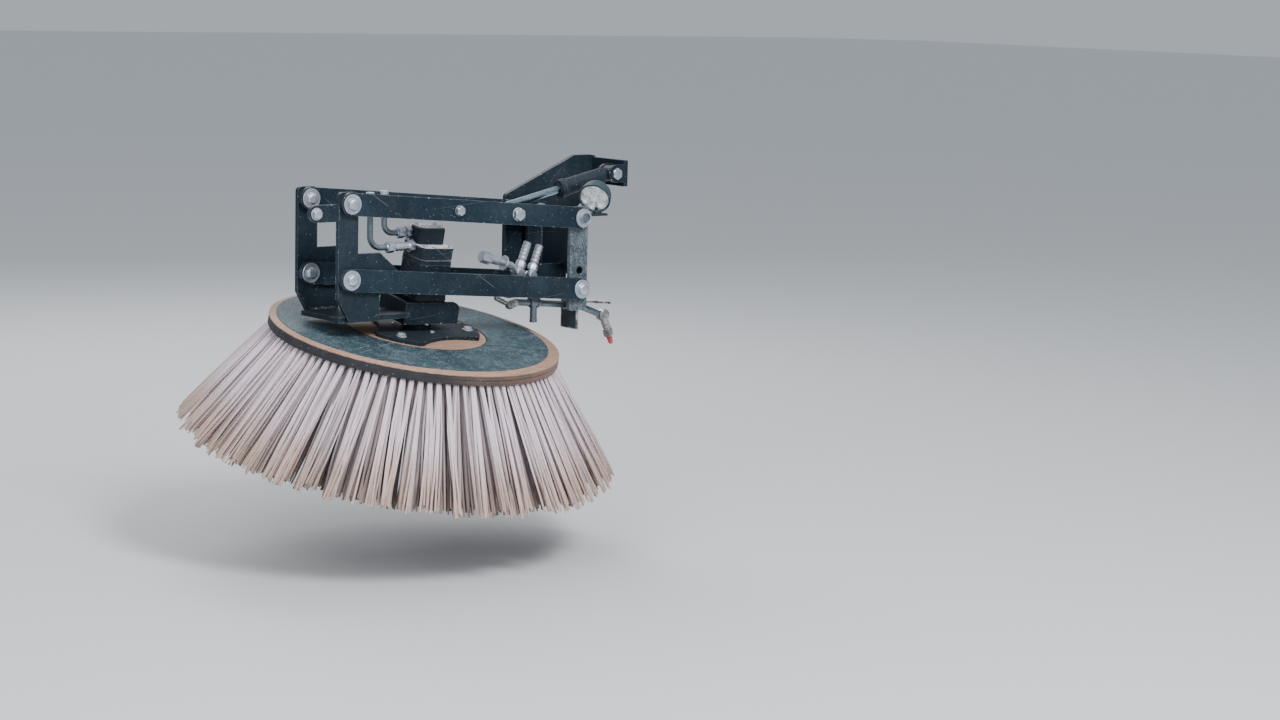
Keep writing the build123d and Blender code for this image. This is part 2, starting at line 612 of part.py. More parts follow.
def build_cylinder():
    """Lift cylinder: barrel on the frame's anchor, rod on the upper arm's lift pin."""
    lift = along_arm(FRAME_UPPER, LIFT_FROM_FRAME)
    eye = Vector(lift[0], CYLINDER_Y, lift[1])
    foot = Vector(ANCHOR[0], CYLINDER_Y, ANCHOR[1])
    run = (eye - foot).normalized()
    gland = foot + run * (EYE_RADIUS + BARREL_LENGTH)
    neck = foot + run * (EYE_RADIUS + FOOT_NECK)
    front, back = CYLINDER_Y - EYE_WIDTH / 2, CYLINDER_Y + EYE_WIDTH / 2
    barrel = rod_between(neck, gland, BARREL_RADIUS)
    barrel += rod_between(foot, neck, NECK_RADIUS)
    barrel += cross_rod(ANCHOR, front, back, EYE_RADIUS)
    barrel -= cross_rod(ANCHOR, front, back, ANCHOR_PIN_RADIUS + PIN_CLEARANCE)
    barrel -= rod_between(neck + run * BARREL_BASE, gland + run, ROD_RADIUS + PIN_CLEARANCE)
    for step in PORT_STEPS:
        port = foot + run * (EYE_RADIUS + step)
        port_start = port + Vector(0, EYE_WIDTH / 2, 0)
        barrel += rod_between(port_start, port + Vector(0, PORT_LENGTH, 0), PORT_RADIUS)
    save(barrel, "lift_cylinder_barrel")
    rod = rod_between(foot + run * (EYE_RADIUS + ROD_DEPTH), eye - run * EYE_WIDTH / 2, ROD_RADIUS)
    rod += cross_rod(lift, front, back, EYE_RADIUS)
    rod -= cross_rod(lift, front, back, LIFT_PIN_RADIUS + EYE_DRIFT)
    save(rod, "lift_cylinder_rod")
    build_anchor()


def build_anchor():
    """Two ears and a wall that hold the cylinder's foot off the chassis plate."""
    front = CYLINDER_Y - EYE_WIDTH / 2 - EAR_GAP - EAR_THICK
    back = CYLINDER_Y + EYE_WIDTH / 2 + EAR_GAP
    wall_x = ANCHOR[0] + EAR_REACH
    anchor = Pos(wall_x + EAR_WALL_THICK / 2, (front - MOUNT_THICK) / 2, ANCHOR[1])
    anchor *= Box(EAR_WALL_THICK, -MOUNT_THICK - front, EAR_WALL_HEIGHT)
    ear = Pos(ANCHOR[0] + EAR_REACH / 2, ANCHOR[1]) * Rectangle(EAR_REACH, 2 * EAR_RADIUS)
    ear += Pos(*ANCHOR) * Circle(EAR_RADIUS)
    ear -= Pos(*ANCHOR) * Circle(ANCHOR_PIN_RADIUS)
    anchor += side_plate(ear, front, EAR_THICK) + side_plate(ear, back, EAR_THICK)
    save(anchor, "cylinder_anchor")
    pin = cross_rod(ANCHOR, front, back + EAR_THICK, ANCHOR_PIN_RADIUS)
    pin += bolt_head(ANCHOR, front, ANCHOR_HEAD_RADIUS, ANCHOR_PIN_RADIUS)
    pin += nut(ANCHOR, back + EAR_THICK, ANCHOR_NUT_RADIUS, ANCHOR_NUT_HEIGHT)
    save(pin, "cylinder_anchor_pin")


def build_lamp():
    """Round work lamp on an angle bracket beside the post."""
    leg_x = (CHEEK_WIDTH + LAMP_LEG[0]) / 2
    shelf_x = (CHEEK_WIDTH + LAMP_SHELF[0]) / 2
    bracket = Pos(leg_x, LAMP_BRACKET_Y, LAMP_BRACKET_TOP - LAMP_LEG[2] / 2) * Box(*LAMP_LEG)
    bracket += Pos(shelf_x, LAMP_BRACKET_Y, LAMP_BRACKET_TOP - LAMP_SHELF[2] / 2) * Box(*LAMP_SHELF)
    save(bracket, "lamp_bracket")
    place = Plane(origin=LENS_CENTRE, z_dir=LAMP_FACING).location
    shell = revolve(Plane.XZ * make_face(Polyline(*LAMP_SECTION, close=True)), Axis.Z)
    foot = Vector(*LAMP_STUD, LAMP_BRACKET_TOP)
    stud = rod_between(foot, foot + Vector(0, 0, LAMP_STUD_LENGTH), LAMP_STUD_RADIUS)
    lens = place * Pos(0, 0, -LENS_INSET - LENS_THICK / 2) * Cylinder(LENS_RADIUS, LENS_THICK)
    save(place * shell + stud - lens, "lamp_housing")
    save(lens, "lamp_lens")


def build_spray():
    """Water spray line beside the brush: bracket, pipe with its tee, and the aimed nozzle."""
    line = [at(point, SPRAY_Y) for point in SPRAY_RUN]
    section = make_face(Polyline(*SPRAY_SECTION, close=True))
    bracket = side_plate(section, FRONT_CHEEK_Y + CHEEK_THICK, SPRAY_SHELF)
    save(bracket - bent_tube(line, SPRAY_BEND, SPRAY_SLOT_RADIUS), "spray_bracket")
    pipe = bent_tube(line, SPRAY_BEND, SPRAY_RADIUS)
    pipe += rod_between(*[at(point, SPRAY_Y) for point in TEE_ENDS], TEE_RADIUS)
    pipe += rod_between(*[at(point, SPRAY_Y) for point in DROP_ENDS], DROP_RADIUS)
    save(pipe, "spray_pipe")
    hose_end = rod_between(*[at(point, SPRAY_Y) for point in BARB_ENDS], BARB_RADIUS)
    hose_end += knuckle(HOSE_JOINT, SPRAY_Y, HOSE_JOINT_RADIUS)
    hose_end += rod_between(at(HOSE_JOINT, SPRAY_Y), line[0], HOSE_NECK_RADIUS)
    save(hose_end - pipe, "spray_hose_end")
    nozzle = knuckle(NOZZLE_JOINT, SPRAY_Y, NOZZLE_JOINT_RADIUS)
    nozzle += rod_between(at(NOZZLE_JOINT, SPRAY_Y), at(NOZZLE_END, SPRAY_Y), NOZZLE_RADIUS)
    nozzle += hex_between(*[at(point, SPRAY_Y) for point in CAP_ENDS], CAP_RADIUS)
    save(nozzle - pipe, "spray_nozzle")
    save(rod_between(at(CAP_ENDS[1], SPRAY_Y), at(TIP_END, SPRAY_Y), TIP_RADIUS), "spray_nozzle_tip")


def stepped(steps, origin):
    """Round and hexagonal lengths that follow one another, drawn as (x, z) from an origin."""
    lengths = []
    for start, end, radius, is_hexagon in steps:
        ends = [at((origin[0] + point[0], origin[1] + point[1]), HOSE_Y) for point in (start, end)]
        lengths.append(hex_between(*ends, radius) if is_hexagon else rod_between(*ends, radius))
    return Part() + lengths


def build_hose_fittings():
    """Strip on the web with two tilted hose ends and a coupling."""
    web_face = CHEEK_WIDTH / 2 - WEB_THICK
    width = web_face - STRIP_START_X
    strip = Pos(STRIP_START_X + width / 2, STRIP_LOW_Z + STRIP_HEIGHT / 2) * Rectangle(width, STRIP_HEIGHT)
    save(side_plate(strip, STRIP_FRONT_Y, STRIP_THICK), "hose_strip")
    ends = []
    for point in HOSE_ENDS:
        body = cross_rod(point, HOSE_BODY_FRONT_Y, STRIP_FRONT_Y, HOSE_BODY_RADIUS)
        ends.append(body + stepped(HOSE_END_STEPS, point))
    save(group(ends), "hose_ends")
    coupling = stepped(COUPLING_STEPS, (0, 0))
    for body in ends:
        coupling -= body
    save(coupling, "hose_coupling")


build_frame()
build_arms()
build_pins()
build_head()
motor = build_motor()
build_pipes(motor)
build_disc()
build_tufts()
build_cylinder()
build_lamp()
build_spray()
build_hose_fittings()
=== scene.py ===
import math

import bmesh
import bpy
import numpy as np
from mathutils import Matrix, Vector


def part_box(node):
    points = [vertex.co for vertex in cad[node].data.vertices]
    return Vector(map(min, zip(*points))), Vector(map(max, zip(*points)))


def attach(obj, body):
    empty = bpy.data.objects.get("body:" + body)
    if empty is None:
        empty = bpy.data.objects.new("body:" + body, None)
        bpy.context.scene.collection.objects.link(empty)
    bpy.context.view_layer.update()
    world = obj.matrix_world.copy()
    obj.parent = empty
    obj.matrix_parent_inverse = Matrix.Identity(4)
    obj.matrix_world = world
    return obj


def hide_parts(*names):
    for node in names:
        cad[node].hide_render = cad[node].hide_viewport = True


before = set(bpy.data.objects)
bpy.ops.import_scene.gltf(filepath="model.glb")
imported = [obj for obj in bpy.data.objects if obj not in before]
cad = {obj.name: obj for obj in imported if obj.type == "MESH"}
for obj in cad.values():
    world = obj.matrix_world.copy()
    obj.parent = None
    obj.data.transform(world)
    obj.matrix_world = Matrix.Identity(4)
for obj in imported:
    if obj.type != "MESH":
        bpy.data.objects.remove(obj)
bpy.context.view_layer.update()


# Camera
# The photograph's own view, from beside the unit at about hip height. Its angles, place and focal length, in
# pixels of a frame 1280 wide, were solved from the photograph.


def shown(name, data):
    """A new object with that data, in the scene."""
    made = bpy.data.objects.new(name, data)
    bpy.context.scene.collection.objects.link(made)
    return made


yaw, pitch, roll = math.radians(39.55), math.radians(8.32), math.radians(-1.47)
focal_length, frame_width, sensor_width = 2583, 1280, 36.0
ahead = Vector((math.sin(yaw) * math.cos(pitch), math.cos(yaw) * math.cos(pitch), -math.sin(pitch)))
level_right = Vector((math.cos(yaw), -math.sin(yaw), 0))
level_down = ahead.cross(level_right)
view_right = math.cos(roll) * level_right + math.sin(roll) * level_down
view_down = -math.sin(roll) * level_right + math.cos(roll) * level_down
camera = shown("camera", bpy.data.cameras.new("camera"))
camera.data.sensor_width = sensor_width
camera.data.lens = sensor_width * focal_length / frame_width
camera.data.clip_end = 60
camera.matrix_world = Matrix.Translation((-3.347, -4.450, 0.568)) @ Matrix(
    (view_right, -view_down, -ahead)).transposed().to_4x4()
bpy.context.scene.camera = camera


# Floor and studio lights
# A pale floor at ground height under the raised brush. A large soft key light stands in front, a weaker fill at
# the left and one behind, in a pale surround.
reach, ground = 40, -0.61
floor = shown("floor", bpy.data.meshes.new("floor"))
floor.data.from_pydata([(x * reach, y * reach, ground) for x, y in ((-1, -1), (1, -1), (1, 1), (-1, 1))],
                       [], [(0, 1, 2, 3)])
floor_finish = bpy.data.materials.new("pale_floor")
floor_finish.use_nodes = True
floor_sockets = floor_finish.node_tree.nodes["Principled BSDF"].inputs
floor_sockets["Base Color"].default_value = (0.78, 0.79, 0.80, 1)
floor_sockets["Roughness"].default_value = 0.85
floor.data.materials.append(floor_finish)
aim = Vector((-0.3, -0.1, -0.1))
# Columns: name, place, size, power
for name, place, size, power in (
    ("key_light", (-0.5, -3.8, 3.1), 1.3, 200),
    ("fill_light", (-3.6, -2.2, 1.6), 2.2, 60),
    ("back_light", (0.6, 3.0, 2.4), 2.0, 70),
):
    light = shown(name, bpy.data.lights.new(name, "AREA"))
    light.data.size, light.data.energy = size, power
    light.location = place
    light.rotation_euler = (aim - Vector(place)).to_track_quat("-Z", "Y").to_euler()
surround = bpy.data.worlds.new("surround")
surround.use_nodes = True
background = surround.node_tree.nodes["Background"].inputs
background["Color"].default_value = (0.80, 0.87, 0.95, 1)
background["Strength"].default_value = 0.55
bpy.context.scene.world = surround


# Chassis frame
# Steel plate that bolts to a chassis rail, with a web and two posts welded to it that carry the arms. Sprayed
# dark blue-grey after welding; since then rubbed to bare steel on its edges, scratched and dusty.


class Pattern:
    """A number, colour or vector that changes over a surface: a shader node's output. Sums of patterns and
    numbers are Math nodes, and pattern["X"] is the same node's output of that name."""

    def __init__(self, socket):
        self.socket, self.tree = socket, socket.id_data

    def __getitem__(self, output):
        return Pattern(self.socket.node.outputs[output])

    def math(self, operation, *others):
        return node(self, "Math", self, *others, operation=operation)

    def __add__(self, other):
        return self.math("ADD", other)

    def __sub__(self, other):
        return self.math("SUBTRACT", other)

    def __mul__(self, other):
        return self.math("MULTIPLY", other)

    def __pow__(self, other):
        return self.math("POWER", other)

    def __abs__(self):
        return self.math("ABSOLUTE")


def plug(socket, value):
    """A pattern is linked to the socket, and a number, vector or colour is set on it."""
    if isinstance(value, Pattern):
        value.tree.links.new(value.socket, socket)
    else:
        socket.default_value = (*value, 1) if socket.type == "RGBA" else value


def node(near, kind, *inputs, **values):
    """First output of a new shader node beside the pattern near. Each value sets a setting of that name, or the
    socket of that name, spaces as _. The inputs fill its first sockets."""
    made = near.tree.nodes.new("ShaderNode" + kind)
    for key, value in values.items():
        if hasattr(made, key):
            setattr(made, key, value)
        else:
            plug(made.inputs[key.replace("_", " ")], value)
    for socket, value in zip(made.inputs, inputs):
        plug(socket, value)
    return Pattern(made.outputs[0])


def ramp(value, low, high):
    """value stretched so that low gives 0 and high gives 1, smoothly, and held there beyond."""
    return node(value, "MapRange", value, low, high, interpolation_type="SMOOTHSTEP")


def layered(colour, *layers):
    """The colour with others laid over it in turn. Each layer is (mask, colour) and shows where its mask is 1."""
    for mask, over in layers:
        mix = node(mask, "Mix", mask, data_type="RGBA").socket.node
        plug(mix.inputs[6], colour)
        plug(mix.inputs[7], over)
        colour = Pattern(mix.outputs[2])
    return colour


def noise(place, scale, detail=4.0, roughness=0.55, stretch=(1, 1, 1)):
    """Cloudy pattern from 0 to 1, stretched along the axes."""
    stretched = node(place, "Mapping", Vector=place, Scale=stretch)
    return node(place, "TexNoise", Vector=stretched, Scale=scale, Detail=detail, Roughness=roughness)


def facing_up(place):
    """1 where the surface faces up, 0 where it is upright, -1 where it faces down."""
    return node(place, "SeparateXYZ", node(place, "NewGeometry")["Normal"])["Z"]


def effect(name, **inputs):
    """A new node group with those number inputs and a Mask output: the group, its Object coordinates, its inputs
    by name, and the socket that takes its mask."""
    tree = bpy.data.node_groups.new(name, "ShaderNodeTree")
    for label, usual in inputs.items():
        tree.interface.new_socket(label, in_out="INPUT", socket_type="NodeSocketFloat").default_value = usual
    tree.interface.new_socket("Mask", in_out="OUTPUT", socket_type="NodeSocketFloat")
    given = Pattern(tree.nodes.new("NodeGroupInput").outputs[0])
    return tree, node(given, "TexCoord")["Object"], given, tree.nodes.new("NodeGroupOutput").inputs[0]


# Rubbed edges: where the surface within a few millimetres turns away, broken up by a fine pattern.
edge_wear, place, given, mask = effect("edge_wear", Width=0.002, Amount=1.0)
rounded = node(place, "Bevel", samples=6, Radius=given["Width"])
normal = node(place, "NewGeometry")["Normal"]
turning = node(place, "VectorMath", rounded, normal, operation="DOT_PRODUCT")["Value"]
broken = ramp(noise(place, 60, 6, 0.7), 0.62, 0.40)
plug(mask, ramp(turning, 0.995, 0.86) * broken * given["Amount"])

# Road dust: a cloudy film, thicker on what faces up, with fine splashes.
road_dust, place, given, mask = effect("road_dust", Amount=0.5, Scale=9.0)
film = node(place, "TexNoise", Vector=place, Scale=given["Scale"], Detail=7.0, Roughness=0.65)
cloud = ramp(ramp(facing_up(place), -0.2, 1.0) * 0.42 + film, 0.45, 0.95)
fine = ramp(noise(place, 420, 2, 0.5), 0.30, 0.70)
plug(mask, cloud * (fine * 0.5 + 0.5) * given["Amount"])

# Specks: small round marks at random, as of dried splashes and chips.
specks, place, given, mask = effect("specks", Scale=160.0, Share=0.1, Size=0.3)
cells = node(place, "TexVoronoi", Vector=place, Scale=given["Scale"])
chosen = node(place, "SeparateColor", cells["Color"]).math("LESS_THAN", given["Share"])
plug(mask, cells["Distance"].math("LESS_THAN", given["Size"]) * chosen)

# Scratches: the surface is cut into thin bands in three directions. A few bands, chosen at random, carry a fine
# straight line that comes and goes along its length.
scratches, place, given, mask = effect("scratches", Amount=1.0, Share=0.05)
lines = []
for turn, bands in (((0.1, 0.09, 0.2), 170), ((0.3, 0.82, 0.1), 100), ((0.2, -0.58, 0.4), 80)):
    turned_place = node(place, "Mapping", Vector=place, Rotation=turn)
    band = node(place, "SeparateXYZ", turned_place)["Z"] * bands
    chance = node(place, "TexWhiteNoise", noise_dimensions="1D", W=band.math("FLOOR"))
    line = ramp(abs(band.math("FRACT") - 0.5), 0.10, 0.04) * chance.math("LESS_THAN", given["Share"])
    lines.append(line * ramp(noise(turned_place, 15, 2, 0.5, (1, 0.3, 6)), 0.50, 0.60))
plug(mask, lines[0].math("MAXIMUM", lines[1]).math("MAXIMUM", lines[2]) * given["Amount"])


def part_of(place, group, **values):
    """The mask of one of the shared effects, with this material's own values."""
    return node(place, "Group", node_tree=group, **values)


def material(name):
    """A new material, and its Object coordinates."""
    made = bpy.data.materials.new(name)
    made.use_nodes = True
    return made, Pattern(made.node_tree.nodes.new("ShaderNodeTexCoord").outputs["Object"])


def surface(made, height=None, depth=0.0, **values):
    """Each value feeds the material's shader socket of that name, spaces as _, and height is a bump of that
    depth in metres."""
    if height:
        values["Normal"] = node(height, "Bump", Height=height, Distance=depth)
    for key, value in values.items():
        plug(made.node_tree.nodes["Principled BSDF"].inputs[key.replace("_", " ")], value)
    return made


def painted_steel(name, colour, pale, dust, wear, grit, top_dust_and_light=0.0, mottle=0.05,
                  rub=0.0018, bare=(0.24, 0.28, 0.32), hole=None):
    """Sprayed steel: two shades of the paint, scratches and rubbed edges to bare steel, specks and road dust.
    settled is how much pale colour covers level faces, as dust and as painted light on their lit tops; mottle how
    thick fine pale spatter covers the rest, rub how far in from an edge the paint has gone, and hole the x, z and
    radius of a hole along Y, ringed with painted shade."""
    made, place = material(name)
    thick = ramp(noise(place, 48, 4, 0.6, (1, 1, 0.5)), 0.38, 0.62) * 0.70 + 0.35
    spatter = ramp(noise(place, 300, 5, 0.75), 0.40, 0.62) * thick
    scratch = part_of(place, scratches, Amount=0.30 * wear, Share=0.022)
    rubbed = part_of(place, edge_wear, Width=rub, Amount=min(1.0, 0.6 * wear))
    near_edge = part_of(place, edge_wear, Width=0.0050, Amount=1.6 * wear)
    chip = near_edge * part_of(place, specks, Scale=190, Share=0.24, Size=0.27)
    spot = part_of(place, specks, Scale=330, Share=grit, Size=0.25)
    film = part_of(place, road_dust, Amount=dust, Scale=8)
    layers = [(ramp(noise(place, 7, 6), 0.30, 0.72), pale), (spatter * mottle, (0.30, 0.33, 0.36)),
              (scratch, (0.20, 0.25, 0.29)), (rubbed, bare), (chip, (0.55, 0.59, 0.63)),
              (spot, (0.26, 0.31, 0.35)), (film, (0.30, 0.32, 0.33))]
    # Round the hole's rim the paint is darkened to near black: painted shade at the hole's mouth.
    if hole:
        x, z, radius = hole
        parts = node(place, "SeparateXYZ", place)
        from_axis = ((parts["X"] - x) ** 2.0 + (parts["Z"] - z) ** 2.0).math("SQRT")
        layers.append((ramp(from_axis, radius + 0.0014, radius + 0.0003), (0.003, 0.005, 0.008)))
    # Level faces get pale colour in patches: dust lying there, and painted light on lit tops.
    dusty_lit_tops = ramp(facing_up(place), 0.80, 0.97) * (ramp(noise(place, 60, 5), 0.30, 0.46) * top_dust_and_light)
    return surface(made, noise(place, 260, 2) * 0.25 - scratch * 0.8, 0.0003, Specular_IOR_Level=0.18,
                   Base_Color=layered(colour, *layers, (dusty_lit_tops, (0.74, 0.70, 0.72))), Metallic=rubbed * 0.5,
                   Roughness=film.math("MAXIMUM", dusty_lit_tops) * 0.35 + 0.50 - rubbed * 0.10)


def finish(finish_made, *nodes):
    """Those CAD nodes keep their shapes and get this finish."""
    for name in nodes:
        for slot in cad[name].material_slots:
            slot.material = finish_made


frame_paint = painted_steel("frame_paint", (0.004, 0.011, 0.019), (0.010, 0.022, 0.034), 0.09, 0.85, 0.030)
# The lock hole in the front post is ringed with painted shade.
post_paint = painted_steel("post_paint", (0.020, 0.036, 0.052), (0.055, 0.078, 0.098), 0.30, 1.2, 0.30,
                           mottle=0.72, hole=(0.002, -0.036, 0.0075))
finish(frame_paint, "mount_plate", "frame_web", "frame_post_rear", "cylinder_anchor", "lamp_bracket", "hose_strip")
finish(post_paint, "frame_post_front")


def piece(name, grids, finishes, body, replaced=(), crease=35.0):
    """One object from grids of points, (rings, points round a ring, 3), joined by quads from ring to ring and
    round each ring. A grid is given alone, or with the number of its finish. Doubled points are merged and faces
    turned outwards, and edges sharper than crease degrees stay sharp."""
    points, faces, which, start = [], [], [], 0
    for grid in grids:
        grid, number = grid if isinstance(grid, tuple) else (grid, 0)
        rings, sides = grid.shape[:2]
        ring = start + np.arange(rings - 1)[:, None] * sides
        this, following = ring + np.arange(sides), ring + (np.arange(sides) + 1) % sides
        points.append(grid.reshape(-1, 3))
        faces.append(np.stack([this, following, following + sides, this + sides], -1).reshape(-1, 4))
        which.append(np.full(len(faces[-1]), number))
        start += rings * sides
    mesh = bpy.data.meshes.new(name)
    mesh.from_pydata(np.concatenate(points).tolist(), [], np.concatenate(faces).tolist())
    mesh.polygons.foreach_set("material_index", np.concatenate(which).astype(np.int32))
    cleaned = bmesh.new()
    cleaned.from_mesh(mesh)
    bmesh.ops.remove_doubles(cleaned, verts=cleaned.verts, dist=2e-6)
    bmesh.ops.recalc_face_normals(cleaned, faces=cleaned.faces)
    cleaned.to_mesh(mesh)
    cleaned.free()
    mesh.shade_smooth()
    mesh.set_sharp_from_angle(angle=math.radians(crease))
    for one in finishes:
        mesh.materials.append(one)
    made = shown(name, mesh)
    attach(made, body)
    if replaced:
        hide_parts(*replaced)


def unit(vector):
    """The vector or vectors at length one."""
    vector = np.asarray(vector, float)
    return vector / np.linalg.norm(vector, axis=-1, keepdims=True)


def along_path(points, radius, sides=20, upright=(0, 1, 0)):
    """A tube: round each path point a circle of its radius, square to the path's direction there. radius is one
    number or one for each point. Its ends are closed by a last circle of no radius."""
    radius = np.broadcast_to(radius, len(points))
    direction = unit(np.gradient(points, axis=0))
    points = np.concatenate([points[:1], points, points[-1:]])
    direction = np.concatenate([direction[:1], direction, direction[-1:]])
    radius = np.concatenate([[0], radius, [0]])
    side = unit(np.cross(direction, upright))
    up = np.cross(side, direction)
    angle = np.linspace(0, 2 * np.pi, sides, endpoint=False)[None, :, None]
    return points[:, None] + radius[:, None, None] * (np.cos(angle) * side[:, None] + np.sin(angle) * up[:, None])


def weld(start, end, radius, upright=(0, 1, 0)):
    """A weld bead: a tube whose radius swells and shrinks every 4 mm, as the welder moved along, and a little
    every 23 mm, and that thins at both ends."""
    start, end = np.array((start, end), float)
    length = np.linalg.norm(end - start)
    t = np.linspace(0, 1, max(8, int(length / 0.0009)))
    steps = 0.13 * np.sin(2 * np.pi * t * length / 0.004)
    swell = 1 + steps + 0.07 * np.sin(2 * np.pi * t * length / 0.023 + start.sum() * 90)
    ends = np.minimum(1, 12 * np.minimum(t, 1 - t) + 0.35)
    return along_path(start + (end - start) * t[:, None], radius * swell * ends, 8, upright)


web_low, web_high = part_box("frame_web")
rear_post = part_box("frame_post_rear")[0].y
ear_low, ear_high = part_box("cylinder_anchor")
strip_low, strip_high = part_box("hose_strip")
beads = [weld((x, web_high.y, web_low.z + 0.004), (x, web_high.y, web_high.z - 0.004), 0.0042)
         for x in (web_low.x, web_high.x)]
beads += [weld((web_low.x, y, web_low.z + 0.003), (web_low.x, y, web_high.z - 0.003), 0.0042)
          for y in (web_low.y, rear_post)]
beads += [weld((ear_low.x + 0.045, ear_high.y, z), (ear_high.x - 0.001, ear_high.y, z), 0.0038, (0, 0, 1))
          for z in (ear_low.z, ear_high.z)]
strip_bottom, strip_top = strip_low.z + 0.002, strip_high.z - 0.002
beads.append(weld((web_low.x, strip_low.y, strip_bottom), (web_low.x, strip_low.y, strip_top), 0.003))
piece("frame_welds", beads, [frame_paint], "mount_frame")


# Arms
# Four flat bars with round ends, cut from 45 by 10 mm strip, make the two arms of the parallelogram. A bolted
# spacer tube ties the upper pair, a welded one the lower pair, and the lift pin crosses the upper pair.
arm_paint = painted_steel("arm_paint", (0.005, 0.014, 0.024), (0.011, 0.027, 0.042), 0.06, 0.95, 0.035)
finish(arm_paint, "upper_bar_front", "upper_bar_rear", "lower_bar_front", "lower_bar_rear", "lower_arm_tie")


def plated_steel(name, colour, rough, dust, grime):
    """Zinc-plated steel: cloudy plating with fine grain, dull film, and dark grime in patches."""
    made, place = material(name)
    cloud = ramp(noise(place, 45, 5), 0.30, 0.70)
    patch = ramp(noise(place, 110, 4, 0.7), 0.58, 0.72)
    film = part_of(place, road_dust, Amount=dust, Scale=22)
    shade = layered(colour, (cloud, tuple(0.72 * c for c in colour)), (patch * grime, (0.09, 0.085, 0.08)),
                    (film, (0.60, 0.60, 0.63)))
    return surface(made, noise(place, 700, 3), 0.00012, Base_Color=shade, Metallic=film * -0.8 + 1.0,
                   Roughness=film * 0.35 + (cloud * 0.14 + rough))


zinc = plated_steel("zinc", (0.62, 0.67, 0.755), 0.34, 0.45, 0.35)
dusty_steel = plated_steel("dusty_steel", (0.22, 0.27, 0.31), 0.40, 0.32, 0.40)


def turned(run, profile, sides=36, flats=0.0, upright=None):
    """A part turned on a lathe about the line run, from its start towards its end: profile gives (distance along
    the line, radius) in metres. With flats, the radius is held inside a hexagon of that half width, as on a nut
    or bolt head. The first corner of each ring is square to upright and the line."""
    start, end = np.asarray(run, float)
    direction = unit(end - start)
    side = unit(np.cross(upright or ((1, 0, 0) if abs(direction[2]) > 0.9 else (0, 0, 1)), direction))
    up = np.cross(direction, side)
    angle = np.linspace(0, 2 * np.pi, sides, endpoint=False)
    profile = np.asarray(profile, float)
    radius = np.repeat(profile[:, 1:], sides, 1)
    if flats:
        from_flat = (angle + np.pi / 6) % (np.pi / 3) - np.pi / 6
        radius = np.minimum(radius, flats / np.cos(from_flat))
    circle = np.cos(angle)[:, None] * side + np.sin(angle)[:, None] * up
    return start + profile[:, None, :1] * direction + radius[..., None] * circle


def hexagon(run, height, corner, flats, upright=None):
    """A hexagonal head or nut by its height, radius at the corners and half width. The corners are cut back."""
    flat = corner * math.cos(math.pi / 6)
    shoulder = height - 0.32 * (corner - flat) - 0.0006
    return turned(run, [(0, 0), (0, flat * 0.97), (0.0004, corner), (shoulder, corner), (height, flat * 0.96),
                        (height + 0.00036, flat * 0.5), (height + 0.0006, 0)], flats=flats, upright=upright)


def washer(run, thick, outer, inner):
    """A flat washer with rounded rims."""
    soft = min(0.0006, thick * 0.3)
    return turned(run, [(0, inner), (0, outer - soft), (soft, outer), (thick - soft, outer),
                        (thick, outer - soft), (thick, inner), (0, inner)])


def rod(run, length, radius, soft=0.0006):
    """A round bar with broken edges."""
    return turned(run, [(0, 0), (0, radius - soft), (soft, radius), (length - soft, radius),
                        (length, radius - soft), (length, 0)])


def forwards(x, z, y, reach=-100):
    """A line to the front from a point of the side view, in metres from millimetres."""
    return (x / 1000, y / 1000, z / 1000), (x / 1000, (y + reach) / 1000, z / 1000)


def backwards(x, z, y):
    """A line to the back from a point of the side view."""
    return forwards(x, z, y, 100)


tie, lift = (-317.88, 101.69), (-171.40, 89.39)
ties = [rod(backwards(*tie, -188), 0.140, 0.010), washer(forwards(*tie, -198), 0.0018, 0.0118, 0.003),
        (hexagon(forwards(*tie, -199.8), 0.0057, 0.0105, 0.0091), 1), rod(backwards(*tie, -198), 0.160, 0.006),
        (hexagon(backwards(*tie, -38), 0.0085, 0.010, 0.0087), 1)]
piece("upper_tie_and_bolt", ties, [dusty_steel, zinc], "upper_arm", ["upper_arm_tie"])
lift_parts = [
    washer(forwards(*lift, -198), 0.0025, 0.014, 0.004), hexagon(forwards(*lift, -200.5), 0.0084, 0.0135, 0.0117),
    rod(backwards(*lift, -198), 0.160, 0.008), rod(backwards(*lift, -188), 0.070, 0.0115),
    rod(backwards(*lift, -92), 0.044, 0.0115), hexagon(backwards(*lift, -38), 0.0113, 0.013, 0.01126)]
piece("lift_pin_bolt", lift_parts, [zinc], "upper_arm", ["lift_pin"])


# Pivot bolts
# Eight zinc-plated shoulder bolts, through the bars into the posts and cheeks: a thick washer under the head, a
# collar between bar and plate, a nut behind. The upper ones on the frame have bored heads.


def pivot_bolt(x, z, bar_face, bored=False):
    """The grids of one bolt whose bar has its front face at bar_face, in millimetres."""
    head = forwards(x, z, bar_face - 3.8)
    parts = [washer(forwards(x, z, bar_face - 0.3), 0.0035, 0.020, 0.004),
             rod(backwards(x, z, bar_face - 0.3), 0.0223, 0.010),
             washer(backwards(x, z, bar_face + 10.3), 0.0017, 0.016, 0.004),
             hexagon(backwards(x, z, bar_face + 22), 0.0094, 0.014, 0.01212)]
    if bored:
        bottom = forwards(x, z, bar_face - 5.8)
        return parts + [turned(head, [
            (0, 0.004), (0, 0.0125), (0.0005, 0.013), (0.0072, 0.013), (0.008, 0.0126), (0.008, 0.0116),
            (0.0074, 0.0110), (0.0020, 0.0110)]),
            (turned(bottom, [(0, 0.0110), (0.0004, 0.0105), (0.0004, 0.0026), (0.0012, 0)]), 1)]
    return parts + [turned(head, [
        (0, 0), (0, 0.0128), (0.0004, 0.013), (0.0030, 0.013), (0.0046, 0.0124), (0.0062, 0.0106),
        (0.0074, 0.0078), (0.0079, 0.0042), (0.0080, 0)], flats=0.01126)]


